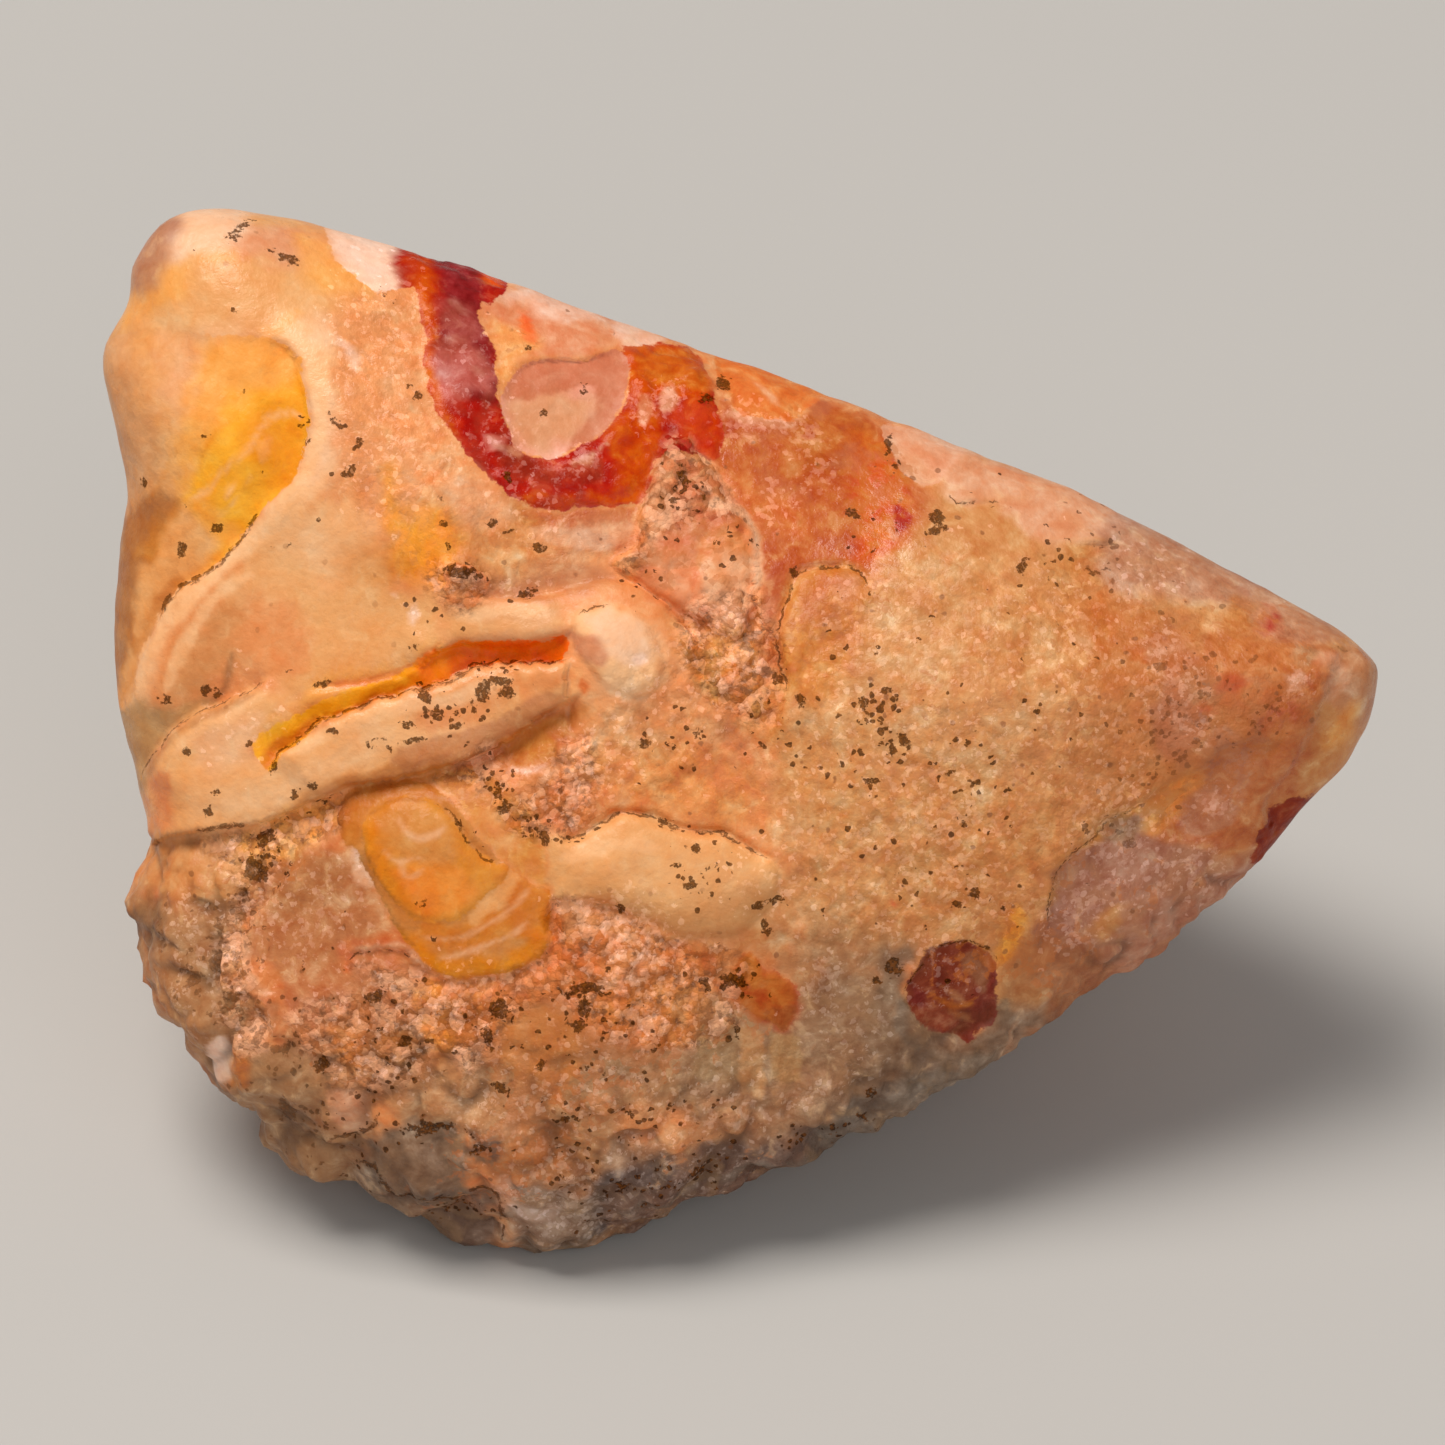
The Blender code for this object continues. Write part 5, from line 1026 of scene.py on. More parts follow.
def drawn_line(points, u, v, near=6.0):
    """What line_field gives, for a line drawn in pixels and points in mm."""
    return line_field(smooth_curve(on_face_mm(points)), u, v, near)


def inside_curve(curve, u, v):
    """Whether each point lies inside a closed curve, by counting crossings."""
    inside = np.zeros(u.shape, dtype=bool)
    low, high = curve.min(axis=0), curve.max(axis=0)
    close = np.nonzero((u > low[0]) & (u < high[0]) & (v > low[1]) & (v < high[1]))[0]
    close_u, close_v = u[close], v[close]
    odd = np.zeros(close.shape, dtype=bool)
    for (u0, v0), (u1, v1) in zip(curve[:-1], curve[1:]):
        if v0 != v1:
            crossed = (v0 > close_v) != (v1 > close_v)
            odd ^= crossed & (close_u < u0 + (close_v - v0) * (u1 - u0) / (v1 - v0))
    inside[close] = odd
    return inside


def drawn_depth(points, u, v, near=6.0):
    """Depth in mm inside an outline drawn in pixels, negative outside it and -near far from it."""
    curve = smooth_curve(on_face_mm(points), closed=True)
    gap = np.minimum(line_field(curve, u, v, near)[0], near)
    return np.where(inside_curve(curve, u, v), gap, -gap)


def deepest(names, u, v):
    """Depth in mm inside the nearest of some named outlines, negative outside them."""
    return np.max([drawn_depth(OUTLINES[name], u, v) for name in names], axis=0)


def shoulder(depth, size):
    """Quarter-round rise from 0 at an edge to 1 at the given depth."""
    share = np.clip(depth / size, 0.0, 1.0)
    return np.sqrt(1.0 - (1.0 - share) ** 2)


def face_relief(u, v):
    """Height of the face's ledges, lobes and cracks over its smooth dome."""
    height = np.zeros(u.shape)
    for u0, v0, radius, rise in SWELLS:
        height += rise * np.exp(-((u - u0) ** 2 + (v - v0) ** 2) / radius ** 2)
    for name, (rise, round_size, fade, drop, drop_reach) in LEDGES.items():
        gap, side, end = drawn_line(LINES[name], u, v)
        high = rise * shoulder(gap, round_size) * np.exp(-(gap / fade) ** 2)
        low = -drop * np.exp(-(gap / drop_reach) ** 2)
        height += np.where(side > 0.0, high, low) * smooth_step(end, 0.0, LEDGE_END)
    for name, (rise, round_size) in PADS.items():
        height += rise * shoulder(drawn_depth(OUTLINES[name], u, v), round_size)
    for name, (half_width, depth) in CRACKS.items():
        gap, _, end = drawn_line(LINES[name], u, v)
        height -= depth * np.exp(-(gap / half_width) ** 2) * smooth_step(end, 0.0, LEDGE_END)
    return height


def to_stone(points):
    """Face-frame points turned and moved to the stone's own frame, in mm."""
    u, v, w = points.T[:, :, None]
    return u * FACE_RIGHT + v * FACE_UP + w * FACE_OUT + FACE_CENTRE


def to_face(direction):
    """A direction of the stone's own frame, read in the face frame."""
    direction = np.array(direction) / np.linalg.norm(direction)
    return np.array([direction @ FACE_RIGHT, direction @ FACE_UP, direction @ FACE_OUT])


def round_the_stone(angle, angles, values):
    """A value given at a few angles, read at any angle."""
    order = np.argsort(angles)
    return np.interp(angle, np.array(angles)[order], np.array(values)[order], period=2.0 * math.pi)


def softened(outline):
    """The outline with its corners evened out, as the back has it."""
    grid = np.radians(np.arange(0, 360, 5))
    lengths = round_the_stone(grid, *outline)
    apart = np.angle(np.exp(1j * (grid[:, None] - grid[None, :])))
    weights = np.exp(-(apart / BACK_SOFTENING) ** 2)
    return grid, weights @ lengths / weights.sum(axis=1)


def body_reach(directions, outline):
    """Distance from the face centre to the bare body, along each direction."""
    across, up, out = directions.T
    level = np.hypot(across, up)
    angle = np.arctan2(up, across)
    edge = round_the_stone(angle, *outline)
    side_angles = [math.radians(row[0]) % (2.0 * math.pi) for row in SIDES]
    lean_in = round_the_stone(angle, side_angles, [row[1] for row in SIDES])
    sharpness = round_the_stone(angle, side_angles, [row[2] for row in SIDES])
    face = np.hypot(level / (edge * FACE_FLARE), np.maximum(out, 0.0) / FACE_RISE)
    wall = np.maximum(level - out * lean_in, 0.0) / edge
    front = (face ** sharpness + wall ** sharpness) ** (1.0 / sharpness)
    back_edge = round_the_stone(angle, *softened(outline)) * BACK_FLARE
    back = np.hypot(level / back_edge, np.minimum(out, 0.0) / BACK_DEPTH)
    total = front ** BACK_SHARPNESS + back ** BACK_SHARPNESS
    for direction, distance in BREAKS:
        total += (np.maximum(directions @ to_face(direction), 0.0) / distance) ** BACK_SHARPNESS
    return total ** (-1.0 / BACK_SHARPNESS)


def fitted_outline():
    """Outline angles and lengths, let out until the rounded body reaches the drawn edge."""
    curve = smooth_curve(OUTLINE, closed=True)[:-1]
    angles = np.arctan2(curve[:, 1], curve[:, 0])
    drawn = np.hypot(curve[:, 0], curve[:, 1])
    lengths = drawn.copy()
    rises = np.radians(np.arange(-50, 51, 2))
    for _ in range(3):
        reached = np.zeros(angles.shape)
        for rise in rises:
            level = math.cos(rise)
            rays = np.column_stack([level * np.cos(angles), level * np.sin(angles),
                                    np.full(angles.shape, math.sin(rise))])
            reached = np.maximum(reached, body_reach(rays, (angles, lengths)) * level)
        lengths *= drawn / reached
    return angles, lengths


def lump_reach(directions):
    """Distance along each direction to the far side of the outermost lump, 0 where it meets none."""
    reach = np.zeros(len(directions))
    for *centre, radius in LUMPS:
        middle = directions @ np.array(centre)
        inner = middle ** 2 - np.dot(centre, centre) + radius ** 2
        hit = (inner > 0.0) & (middle > 0.0)
        reach = np.where(hit, np.maximum(reach, middle + np.sqrt(np.maximum(inner, 0.0))), reach)
    return reach


def noise_sum(points, kinds, shift, shape):
    """Sum of noises, each of its own size and height, after a shape has been given to them."""
    shift = Vector(shift)
    total = np.zeros(len(points))
    for index, point in enumerate(points):
        place = Vector(point)
        total[index] = sum(rise * shape(noise.noise(place / size + shift)) for size, rise in kinds)
    return total


def waves_at(points, waves, shift=(0.0, 0.0, 0.0)):
    """Sum of smooth noise waves."""
    return noise_sum(points, waves, shift, lambda level: level)


def lumps_at(points, lumps, shift=(0.0, 0.0, 0.0)):
    """Sum of rounded lumps with sharp creases between them."""
    return noise_sum(points, lumps, shift, lambda level: 2.0 * (abs(level) - LUMP_LEVEL))


def roughness(points):
    """Waves all over, and grape-like lumps on what is not the face."""
    gaps = np.array([noise.voronoi(Vector(point) / GRAPE_SIZE)[0][0] for point in points])
    grapes = GRAPE_HEIGHT * (0.5 - gaps ** 2)
    off_face = 1.0 - smooth_step(points[:, 2], *GRAPE_FADE)
    return waves_at(points, WAVES) * (FACE_WAVES + (1.0 - FACE_WAVES) * off_face) + grapes * off_face


def picture_place(points):
    """Where the camera sees each face-frame point, in mm across and up the face's own plane."""
    aim_u = (PICTURE_MIDDLE - FACE_PIXEL[0]) / PIXELS_PER_MM
    aim_v = (FACE_PIXEL[1] - PICTURE_MIDDLE) / PIXELS_PER_MM
    zoom = CAMERA_DISTANCE / (CAMERA_DISTANCE - points[:, 2])
    return aim_u + (points[:, 0] - aim_u) * zoom, aim_v + (points[:, 1] - aim_v) * zoom


def ball_of_triangles():
    """A stretched ball of triangles, finer on the side that becomes the face."""
    ball = bmesh.new()
    bmesh.ops.create_icosphere(ball, subdivisions=START_DIVISIONS, radius=1.0)
    bmesh.ops.scale(ball, vec=START_SHAPE, verts=ball.verts[:])
    for vertex in ball.verts:
        vertex.co.normalize()
    face_edges = [edge for edge in ball.edges if all(vertex.co.z > FINE_FROM for vertex in edge.verts)]
    bmesh.ops.subdivide_edges(ball, edges=face_edges, cuts=1, use_grid_fill=True)
    bmesh.ops.triangulate(ball, faces=[face for face in ball.faces if len(face.verts) > 3])
    for vertex in ball.verts:
        vertex.co.normalize()
    return ball


def share_inside(places, u, v):
    """How much each point belongs to a set of outlines, each with its own softness in mm."""
    share = np.zeros(u.shape)
    for softness, points in places:
        share = np.maximum(share, smooth_step(drawn_depth(points, u, v), -softness, softness))
    return share


def cluster_cover(clusters, bands, u, v):
    """Share of the ground that small grains cover, from round clusters and from bands along lines."""
    bare = np.ones(u.shape)
    for x, y, radius, share in clusters:
        (u0, v0), = on_face_mm([(x, y)])
        far = ((u - u0) ** 2 + (v - v0) ** 2) * (PIXELS_PER_MM / radius) ** 2
        bare *= 1.0 - share * np.exp(-far ** 2)
    for half_width, share, points in bands:
        gap, _, end = drawn_line(points, u, v, near=4.0)
        far = np.where(np.isinf(gap), BAND_FAR, gap * PIXELS_PER_MM / half_width)
        thickness = BAND_TIP + (1.0 - BAND_TIP) * smooth_step(end, 0.0, BAND_TAPER)
        bare *= 1.0 - share * np.exp(-far ** 2) * thickness
    return 1.0 - bare


def blot_depth(u, v):
    """How far inside the nearest dark spot each point lies, in mm; below nought outside."""
    depth = np.full(u.shape, NO_BLOT)
    for x, y, half_length, half_width, degrees in SPOTS:
        (u0, v0), = on_face_mm([(x, y)])
        turn = math.radians(degrees)
        along = (u - u0) * math.cos(turn) + (v - v0) * math.sin(turn)
        across = (v - v0) * math.cos(turn) - (u - u0) * math.sin(turn)
        far = np.hypot(along / half_length, across / half_width) * PIXELS_PER_MM
        depth = np.maximum(depth, (1.0 - far) * min(half_length, half_width) / PIXELS_PER_MM)
    return depth


def seam_shade_fields(u, v):
    """Signed distance to the nearest line of painted crevice shade in mm, and that line's half width there.
    """
    nearest = np.full(u.shape, SEAM_SHADE_REACH)
    signed = np.full(u.shape, SEAM_SHADE_REACH)
    width = np.full(u.shape, -1.0)
    for name, half_width in SEAM_SHADES.items():
        gap, side, end = drawn_line(LINES[name], u, v, near=1.0)
        closer = gap < nearest
        nearest = np.where(closer, gap, nearest)
        signed = np.where(closer, gap * side, signed)
        taper = smooth_step(end, 0.0, SEAM_SHADE_TAPER)
        fade = SEAM_SHADE_END * (1.0 - taper) + smooth_step(gap, SEAM_SHADE_CORE, SEAM_SHADE_REACH)
        width = np.where(closer, half_width * taper - fade, width)
    return signed, width


def lay(colours, tone, cover):
    """Lays one tone over the colours, as thick as the cover says."""
    colours += (np.array(linear(TONES[tone])[:3]) - colours) * cover[:, None]


def painted(layer, washes, start, u, v, ragged):
    """One layer's colours from its washes and strokes, on what lies under it."""
    colours = start.copy()
    for tone, strength, softness, points in washes:
        depth = drawn_depth(points, u, v) + ragged * (WASH_RAGGED + softness * SOFT_RAGGED)
        lay(colours, tone, strength * smooth_step(depth, -softness, softness))
    for stroke_layer, tone, strength, half_width, points in STROKES:
        if stroke_layer == layer:
            gap, _, end = drawn_line(points, u, v, near=2.0)
            thickness = STROKE_TIP + (1.0 - STROKE_TIP) * smooth_step(end, 0.0, STROKE_TAPER)
            depth = half_width / PIXELS_PER_MM * thickness - gap + ragged * STROKE_RAGGED
            lay(colours, tone, strength * smooth_step(depth, *STROKE_EDGE))
    return colours


def set_field(mesh, name, values):
    """Stores a number or a colour per vertex for the materials to read."""
    if values.ndim == 1:
        field = mesh.attributes.new(name=name, type="FLOAT", domain="POINT")
        field.data.foreach_set("value", np.asarray(values, dtype=np.float32))
    else:
        field = mesh.attributes.new(name=name, type="FLOAT_COLOR", domain="POINT")
        rgba = np.column_stack([values, np.ones(len(values))])
        field.data.foreach_set("color", np.asarray(rgba, dtype=np.float32).ravel())


def make_stone():
    """The whole stone as one closed mesh, with the fields that its material reads."""
    ball = ball_of_triangles()
    mesh = bpy.data.meshes.new("agate_stone")
    ball.to_mesh(mesh)
    ball.free()
    directions = np.empty(len(mesh.vertices) * 3)
    mesh.vertices.foreach_get("co", directions)
    directions = directions.reshape(-1, 3)
    reach = np.maximum(body_reach(directions, fitted_outline()), lump_reach(directions))
    points = directions * reach[:, None]
    points += directions * roughness(points)[:, None]
    on_face = smooth_step(points[:, 2], *RELIEF_FADE)
    u, v = picture_place(points)
    u = u + waves_at(points, WARPS)
    v = v + waves_at(points, WARPS, shift=(31.0, 17.0, 5.0))
    points[:, 2] += face_relief(u, v) * on_face

    crust = share_inside(CRUST_PLACES, u, v) * on_face
    sugar = share_inside(SUGAR_PLACES, u, v) * on_face
    crinkle = share_inside(CRINKLE_PLACES, u, v) * on_face * (1.0 - crust)
    lumpy = share_inside(LUMPY_PLACES, u, v) * on_face
    crumbs = lumps_at(points, CRUMB_LUMPS, shift=(3.0, 9.0, 1.0))
    fine = waves_at(points, WAXY_WAVES) + crumbs * np.maximum(crust, BACK_CRUMBS * (1.0 - on_face))
    fine += waves_at(points, SUGAR_WAVES, shift=(11.0, 2.0, 7.0)) * sugar * (1.0 - crust)
    fine += lumps_at(points, CRINKLE_LUMPS, shift=(5.0, 23.0, 13.0)) * crinkle
    coarse = lumps_at(points, COARSE_LUMPS, shift=(2.0, 6.0, 29.0))
    fine += coarse * lumpy
    points += directions * fine[:, None]
    places = to_stone(points)
    places[:, 2] = np.maximum(places[:, 2], 0.0)
    mesh.vertices.foreach_set("co", (places * MM).ravel())

    ragged = waves_at(points, RAGGED_WAVES, shift=(7.0, 3.0, 19.0))
    base = np.tile(np.array(linear(TONES["peach"])[:3]), (len(points), 1))
    ground = painted("ground", GROUND, base, u, v, ragged)
    set_field(mesh, "ground", ground)
    set_field(mesh, "inlay", painted("inlay", INLAID, ground, u, v, ragged))
    set_field(mesh, "top", painted("top", TOPPED, ground, u, v, ragged))
    set_field(mesh, "inlay_depth", deepest(INLAYS, u, v))
    set_field(mesh, "top_depth", deepest(TOPS, u, v))
    set_field(mesh, "painted", smooth_step(points[:, 2], *PAINT_FADE))
    set_field(mesh, "crust", crust)
    set_field(mesh, "sugar", sugar)
    set_field(mesh, "relief", crumbs)
    # Painted shade in the creases between the lower lumps.
    set_field(mesh, "crease_shade", lumpy * smooth_step(-coarse, *CREASE_SHADE_DEPTHS))
    set_field(mesh, "blot", np.where(on_face > 0.5, blot_depth(u, v), NO_BLOT))
    set_field(mesh, "faint", share_inside(FAINT_PLACES, u, v))
    set_field(mesh, "waxy", share_inside(WAXY_PLACES, u, v) * on_face)
    set_field(mesh, "speck_cover", cluster_cover(SPOT_CLUSTERS, SPOT_BANDS, u, v) * on_face)
    set_field(mesh, "fleck_cover", cluster_cover(FLECK_CLUSTERS, FLECK_BANDS, u, v) * on_face)
    set_field(mesh, "iron_cover", cluster_cover(IRON_CLUSTERS, [], u, v))
    clear_places = [(CLEAR_SOFTNESS, OUTLINES[name]) for name in CLEAR_PLACES]
    set_field(mesh, "clear", share_inside(clear_places, u, v))
    # Lines of painted shade in the crevices, for the material to darken.
    seam, seam_shade_width = seam_shade_fields(u, v)
    set_field(mesh, "seam", seam)
    set_field(mesh, "seam_shade_width", seam_shade_width)
    rough = np.full(u.shape, MATT_GROUND)
    for softness, value, outline in POLISH:
        rough += (value - rough) * smooth_step(drawn_depth(outline, u, v), -softness, softness)
    set_field(mesh, "rough", rough + (CRUST_ROUGH - rough) * crust)
    mesh.shade_smooth()
    mesh.update()
    stone = bpy.data.objects.new("agate_stone", mesh)
    bpy.context.scene.collection.objects.link(stone)
    print("stone triangles", len(mesh.polygons))
    return stone


# Sockets of a mix node that blends colours
MIX_FACTOR, MIX_A, MIX_B, MIX_COLOUR = 0, 6, 7, 2

# Tones of the rind on the back, and of what is scattered over the stone. The crease, pit and hole tones are
# painted shade, and the soot tones also paint the shade in the crevices.
STAINS = {
    "rind": "#D8A882", "rind shade": "#A8866C", "rind rust": "#C8854C", "rind dark": "#8E6A54",
    "rind crumb": "#E6C6A4", "haze": "#F2BC82", "iron": "#C06420", "pit_shade": "#8A4A1C", "crumb": "#F4B48C",
    "hole_shade": "#6A3A1A", "freckle": "#84481C", "crease_shade": "#4E2C12", "soot_and_seam_shade": "#2C1402", "thin soot": "#6E3C10",
}

# What a fleck does to the colour under it: gain and lift of red, green and blue.
FLECK_GAIN = (1.10, 1.16, 1.35)
FLECK_LIFT = (0.14, 0.11, 0.09)

# How the skin shines, less in clear places and least under soot and the painted crevice shade, and how high
# its grain stands in mm.
IOR = 1.54
GLEAM = 0.32
CLEAR_GLEAM = -0.22
SOOT_GLEAM = -0.28
BUMP_STRENGTH = 0.8
BUMP_DEPTH = 0.20
# Size in mm of the noise that sways the grains' cells.
SWAY_SIZE = 0.35


def add(tree, kind, inputs=None, **settings):
    """One node with its settings; each input is a plain value or the output that feeds it."""
    node = tree.nodes.new("ShaderNode" + kind)
    for name, value in settings.items():
        setattr(node, name, value)
    for socket, value in (inputs or {}).items():
        if isinstance(value, bpy.types.NodeSocket):
            tree.links.new(value, node.inputs[socket])
        else:
            node.inputs[socket].default_value = value
    return node


def chalcedony():
    """Chalcedony, waxy to glassy, stained by iron and manganese."""
    material = bpy.data.materials.new("chalcedony")
    material.use_nodes = True
    tree = material.node_tree
    shader = tree.nodes["Principled BSDF"]
    place = add(tree, "TexCoord").outputs["Object"]

    def clouds(size_mm, detail=3.0, distortion=0.0, rough=0.55, where=place):
        return add(tree, "TexNoise", {"Vector": where, "Scale": 1000.0 / size_mm, "Detail": detail,
                                      "Roughness": rough, "Distortion": distortion}).outputs["Fac"]

    def field(name, output="Fac"):
        return add(tree, "Attribute", attribute_name=name).outputs[output]

    def ramp(value, low, high, to_low=0.0, to_high=1.0):
        return add(tree, "MapRange", {"Value": value, "From Min": low, "From Max": high, "To Min": to_low,
                                      "To Max": to_high}, interpolation_type="SMOOTHSTEP").outputs["Result"]

    def work(operation, first, second=0.0):
        return add(tree, "Math", {0: first, 1: second}, operation=operation).outputs[0]

    def vector(operation, inputs):
        return add(tree, "VectorMath", inputs, operation=operation).outputs[0]

    def blend(factor, first, second):
        return add(tree, "Mix", {MIX_FACTOR: factor, MIX_A: first, MIX_B: second},
                   data_type="RGBA").outputs[MIX_COLOUR]

    def stained(factor, under, stain):
        return blend(factor, under, linear(STAINS[stain]))

    def grains(size_mm, where):
        cell = add(tree, "TexVoronoi", {"Vector": where, "Scale": 1000.0 / size_mm}).outputs
        chance = add(tree, "SeparateColor", {0: cell["Color"]}).outputs
        return cell["Distance"], chance[0], chance[1]

    def about(cloud, height):
        return work("MULTIPLY", work("SUBTRACT", cloud, 0.5), height)

    def total(first, *others):
        for other in others:
            first = work("ADD", first, other)
        return first

    def product(first, *others):
        for other in others:
            first = work("MULTIPLY", first, other)
        return first

    def shifted(offset, sway_mm):
        sway = add(tree, "TexNoise", {"Vector": place, "Scale": 1000.0 / SWAY_SIZE, "Detail": 2.0})
        push = vector("SCALE", {0: sway.outputs["Color"], "Scale": sway_mm * MM})
        return vector("ADD", {0: vector("ADD", {0: place, 1: offset}), 1: push})

    broad = clouds(5.0, distortion=0.5)
    middle = clouds(1.7, detail=4.0, distortion=0.5)
    small = clouds(0.65, detail=4.0, rough=0.6)
    tiny = clouds(0.26, rough=0.6)
    dust = clouds(0.14, detail=2.0)
    bloom = clouds(0.90, detail=4.0, rough=0.6, distortion=0.6, where=shifted((0.013, 0.007, 0.021), 0.0))
    frost = clouds(0.32, rough=0.6, distortion=0.3, where=shifted((0.005, 0.019, 0.009), 0.0))
    coarse, coarse_tone, coarse_pick = grains(0.55, shifted((0.0, 0.0, 0.0), 0.24))
    fine, fine_tone, _ = grains(0.27, shifted((0.011, 0.0, 0.005), 0.14))
    dot, dot_tone, dot_pick = grains(0.25, shifted((0.0, 0.017, 0.003), 0.22))
    flake, flake_tone, flake_pick = grains(0.21, shifted((0.021, 0.003, 0.012), 0.10))
    facet_place = shifted((0.009, 0.004, 0.0), 0.10)
    facets = add(tree, "TexVoronoi", {"Vector": facet_place, "Scale": 1000.0 / 0.42}).outputs["Color"]

    sugar, crust, clear = field("sugar"), field("crust"), field("clear")
    veil = work("SUBTRACT", 1.0, work("MULTIPLY", clear, 0.75))
    uneven = total(about(middle, 0.4), about(small, 0.5), about(tiny, 0.3))
    face = blend(ramp(total(field("inlay_depth"), uneven), -0.05, 0.05), field("ground", "Color"),
                 field("inlay", "Color"))
    face = blend(ramp(total(field("top_depth"), uneven), -0.06, 0.06), face, field("top", "Color"))

    rind = stained(ramp(broad, 0.35, 0.62), linear(STAINS["rind"]), "rind shade")
    rind = stained(ramp(middle, 0.52, 0.68), rind, "rind rust")
    rind = stained(ramp(middle, 0.46, 0.34), rind, "rind dark")
    rind = stained(ramp(field("relief"), 0.02, 0.16, 0.0, 0.6), rind, "rind crumb")
    colour = blend(field("painted"), rind, face)

    calm = total(1.0, product(field("waxy"), -0.55))
    cloudy = total(about(middle, 1.1), about(bloom, 1.2), about(small, 0.6))
    depth = total(1.0, about(broad, 0.5), product(cloudy, calm))
    colour = add(tree, "Gamma", {"Color": colour, "Gamma": depth}).outputs[0]
    haze = product(total(ramp(middle, 0.48, 0.66, 0.0, 0.14), ramp(bloom, 0.42, 0.32, 0.0, 0.18)), veil)
    colour = stained(haze, colour, "haze")

    grit = total(product(about(coarse_tone, 0.40), crust), product(about(fine_tone, 0.35), crust),
                 product(about(fine_tone, 0.12), sugar), product(about(coarse_tone, 0.12), sugar),
                 about(tiny, 0.12))
    colour = vector("SCALE", {0: colour, "Scale": total(1.0, grit)})
    unstained = total(bloom, about(fine_tone, 0.2), -0.12)
    iron = ramp(work("SUBTRACT", field("iron_cover"), unstained), -0.03, 0.08)
    colour = stained(product(iron, calm, 0.5), colour, "iron")
    # Painted shade in the hollows between the crust's grains, where its bump lies lowest.
    grain_hollow_shade = product(total(ramp(coarse, 0.50, 0.80, 0.0, 0.45), ramp(fine, 0.50, 0.80, 0.0, 0.25)), crust)
    colour = stained(grain_hollow_shade, colour, "pit_shade")
    pale = total(ramp(coarse_tone, 0.55, 0.95, 0.0, 0.45), ramp(fine_tone, 0.6, 1.0, 0.0, 0.3))
    colour = stained(product(crust, pale), colour, "crumb")
    # Painted shade in the crust's low dips, where its bump sinks.
    dip_shade = product(crust, ramp(small, 0.43, 0.35, 0.0, 0.6))
    colour = stained(dip_shade, colour, "hole_shade")
    freckles = product(work("LESS_THAN", coarse_pick, total(0.05, product(field("iron_cover"), 0.25))),
                       ramp(coarse, 0.26, 0.15, 0.0, 0.65), veil, calm, field("painted"))
    colour = stained(freckles, colour, "freckle")
    # Painted shade in the creases between the lumps.
    colour = stained(product(field("crease_shade"), 0.6), colour, "crease_shade")

    covered = field("fleck_cover")
    frosted = ramp(total(frost, product(covered, 0.19)), 0.585, 0.680, 0.0, 0.50)
    icy = product(frosted, ramp(covered, 0.0, 0.08))
    picked = work("LESS_THAN", flake_pick, product(covered, ramp(frost, 0.40, 0.58, 0.1, 0.9)))
    flakes = product(picked, ramp(flake, 0.80, 0.64), total(0.62, product(flake_tone, 0.38)))
    fleck = work("MAXIMUM", icy, flakes)
    colour = blend(fleck, colour, vector("MULTIPLY_ADD", {0: colour, 1: FLECK_GAIN, 2: FLECK_LIFT}))
    clumps = ramp(bloom, 0.44, 0.60, 0.25, 1.55)
    reach = total(0.50, about(dot_tone, 0.25), about(tiny, 0.5))
    speck = product(work("LESS_THAN", dot_pick, product(field("speck_cover"), clumps)),
                    ramp(work("SUBTRACT", dot, reach), 0.02, -0.10, 0.0, 0.92))
    # Painted shade in the crevices: a dark line along each crevice line, broken here and there.
    across = work("ABSOLUTE", total(field("seam"), uneven))
    gap = product(ramp(work("SUBTRACT", field("seam_shade_width"), across), -0.02, 0.03, 0.0, 0.8),
                  ramp(small, 0.40, 0.52))
    blot_edge = total(field("blot"), -0.05, about(small, 0.3), about(tiny, 0.6))
    blot = product(ramp(blot_edge, -0.02, 0.03, 0.0, 0.97), ramp(dust, 0.36, 0.46, 0.55, 1.0))
    # Dark spots and specks, with the painted crevice shade among them.
    dark = product(work("MAXIMUM", work("MAXIMUM", speck, blot), gap), field("painted"),
                   total(1.0, product(field("faint"), -0.45)))
    # Soot colour, also used for the painted crevice shade.
    soot_and_seam_shade = stained(ramp(dust, 0.42, 0.64), linear(STAINS["soot_and_seam_shade"]), "thin soot")
    colour = blend(dark, colour, blend(0.9, colour, soot_and_seam_shade))
    tree.links.new(colour, shader.inputs["Base Color"])

    rough = total(field("rough"), product(about(tiny, 0.5), veil), product(dark, 0.2), product(fleck, 0.1))
    tree.links.new(rough, shader.inputs["Roughness"])
    gleam = total(GLEAM, product(clear, CLEAR_GLEAM), product(dark, SOOT_GLEAM))
    tree.links.new(gleam, shader.inputs["Specular IOR Level"])
    shader.inputs["IOR"].default_value = IOR
    grain_size = total(product(crust, 0.5), product(sugar, 0.1))
    round_grains = total(product(coarse, crust, -0.5), product(fine, grain_size, -0.7),
                         product(small, crust, 0.8))
    waxy = total(product(small, 0.5), product(tiny, total(0.10, product(total(sugar, crust), 0.20))))
    height = total(waxy, round_grains, product(gap, -0.3))
    bump = add(tree, "Bump", {"Height": height, "Strength": BUMP_STRENGTH, "Distance": BUMP_DEPTH * MM})
    sparkle = total(0.05, product(sugar, 0.14), product(clear, 0.10))
    tilt = vector("SCALE", {0: vector("SUBTRACT", {0: facets, 1: (0.5, 0.5, 0.5)}), "Scale": sparkle})
    normal = vector("NORMALIZE", {0: vector("ADD", {0: bump.outputs["Normal"], 1: tilt})})
    tree.links.new(normal, shader.inputs["Normal"])
    return material


# The floor's half side in m, and the light that comes from all round.
FLOOR_HALF = 1.5
WORLD_LIGHT = 0.27


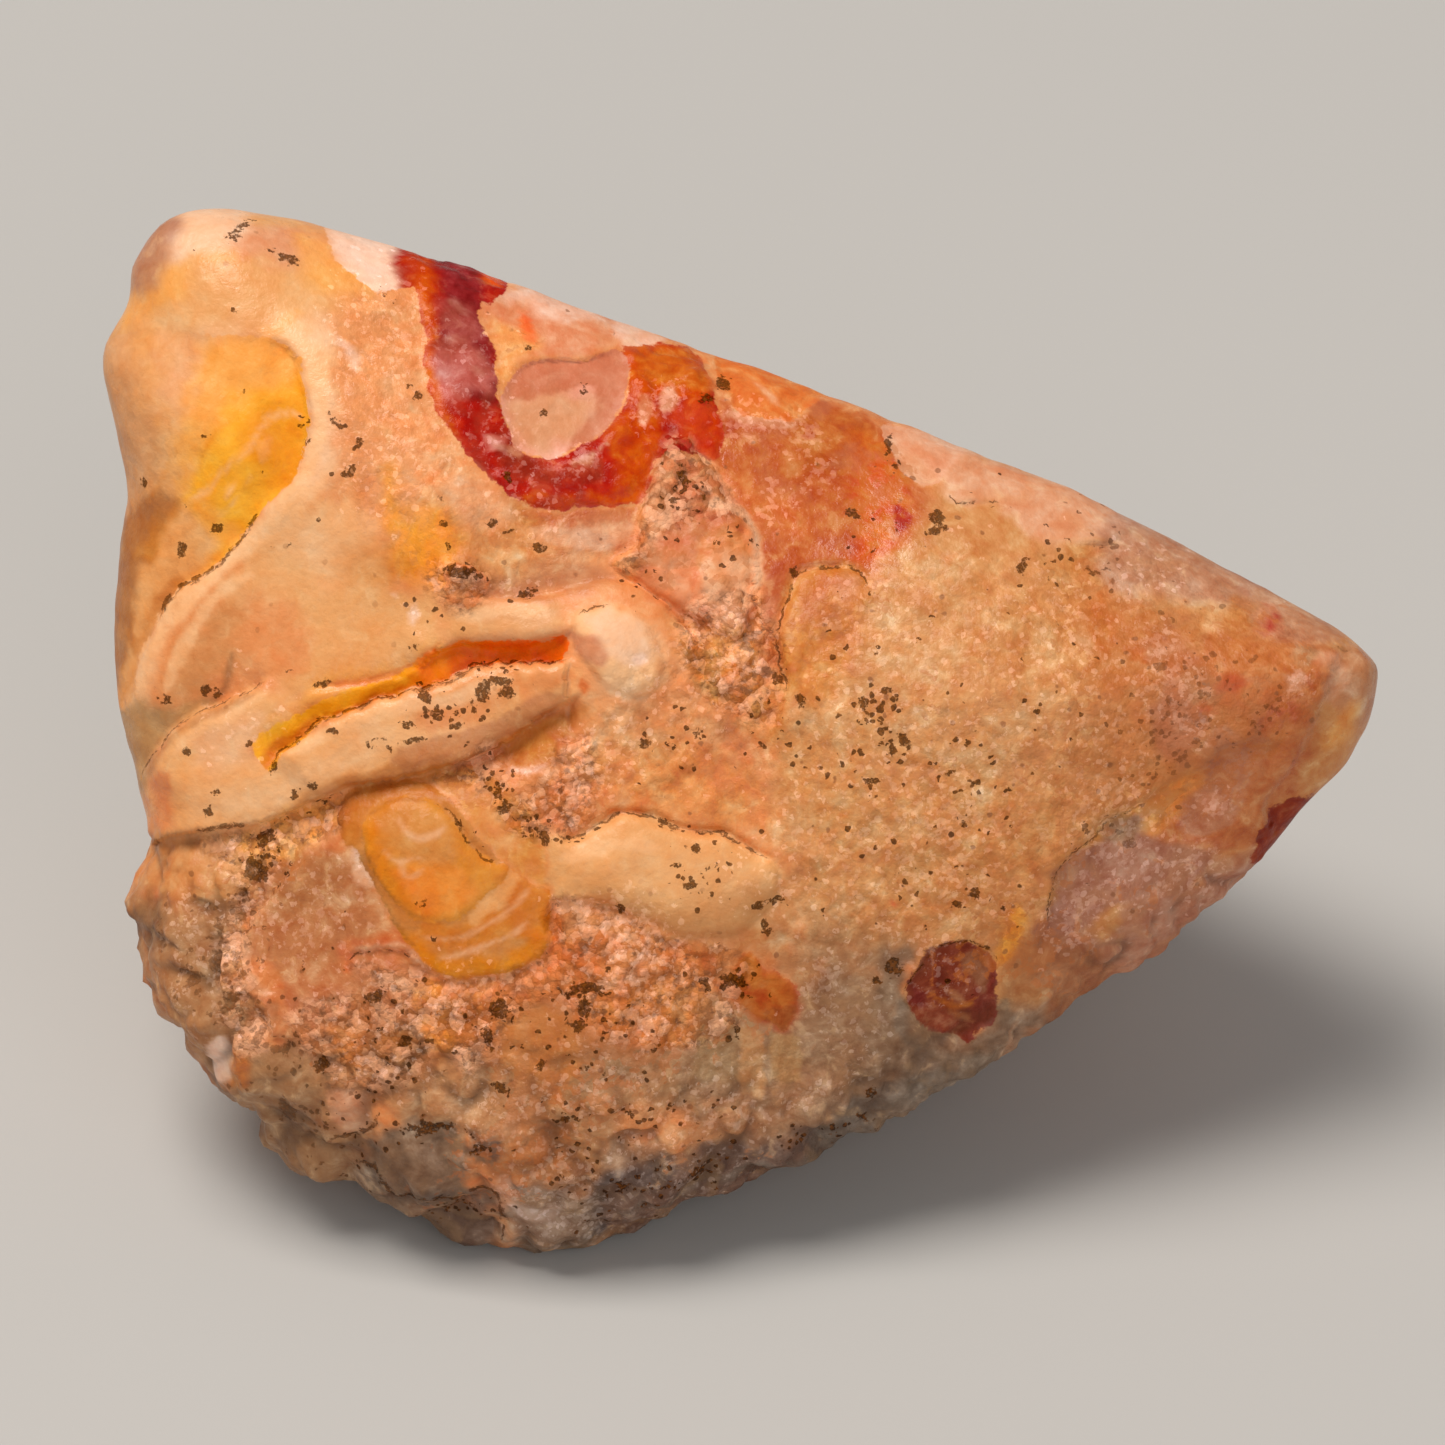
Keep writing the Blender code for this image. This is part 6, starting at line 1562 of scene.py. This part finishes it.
def plain(name, colour, rough):
    """A plain surface for what is not part of the stone."""
    material = bpy.data.materials.new(name)
    material.use_nodes = True
    shader = material.node_tree.nodes["Principled BSDF"]
    shader.inputs["Base Color"].default_value = linear(colour)
    shader.inputs["Roughness"].default_value = rough
    return material


def make_floor():
    """A plain pale floor."""
    shape = bmesh.new()
    bmesh.ops.create_grid(shape, x_segments=1, y_segments=1, size=FLOOR_HALF)
    mesh = bpy.data.meshes.new("floor")
    shape.to_mesh(mesh)
    shape.free()
    mesh.materials.append(plain("matt_pale_floor", "#BDBAB6", rough=0.8))
    floor = bpy.data.objects.new("floor", mesh)
    bpy.context.scene.collection.objects.link(floor)


def soft_light(name, place, aim, size, watts, colour):
    """A square soft light that points at the stone."""
    light = bpy.data.lights.new(name, "AREA")
    light.size = size
    light.energy = watts
    light.color = linear(colour)[:3]
    lamp = bpy.data.objects.new(name, light)
    lamp.location = place
    lamp.rotation_euler = (Vector(aim) - Vector(place)).to_track_quat("-Z", "Y").to_euler()
    bpy.context.scene.collection.objects.link(lamp)


def make_light():
    """Soft studio light, mainly from above and a little left, with a pale fill all round."""
    middle = (0.0, 0.0, 0.015)
    soft_light("key", (-0.20, 0.02, 0.66), middle, size=0.34, watts=4.15, colour="#FFFAF4")
    soft_light("fill", (0.20, -0.60, 0.35), middle, size=0.60, watts=1.5, colour="#FFFFFF")
    world = bpy.data.worlds.new("studio")
    world.use_nodes = True
    background = world.node_tree.nodes["Background"]
    background.inputs["Color"].default_value = linear("#F2F2F2")
    background.inputs["Strength"].default_value = WORLD_LIGHT
    bpy.context.scene.world = world
    bpy.context.scene.view_settings.view_transform = "Standard"


def make_camera():
    """Camera square to the face, so that the picture's frame falls as in the photograph."""
    aim = (FACE_CENTRE + FACE_RIGHT * (PICTURE_MIDDLE - FACE_PIXEL[0]) / PIXELS_PER_MM
           + FACE_UP * (FACE_PIXEL[1] - PICTURE_MIDDLE) / PIXELS_PER_MM)
    place = (aim + FACE_OUT * CAMERA_DISTANCE) * MM
    camera = bpy.data.objects.new("camera", bpy.data.cameras.new("camera"))
    turn = Matrix((FACE_RIGHT, FACE_UP, FACE_OUT)).transposed()
    camera.matrix_world = Matrix.Translation(place) @ turn.to_4x4()
    camera.data.sensor_width = SENSOR
    camera.data.lens = SENSOR * CAMERA_DISTANCE * PIXELS_PER_MM / PICTURE_SIDE
    camera.data.clip_start = 0.01
    bpy.context.scene.collection.objects.link(camera)
    bpy.context.scene.camera = camera


make_camera()
stone = make_stone()
stone.data.materials.append(chalcedony())
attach(stone, "root")
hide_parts("agate")
make_floor()
make_light()
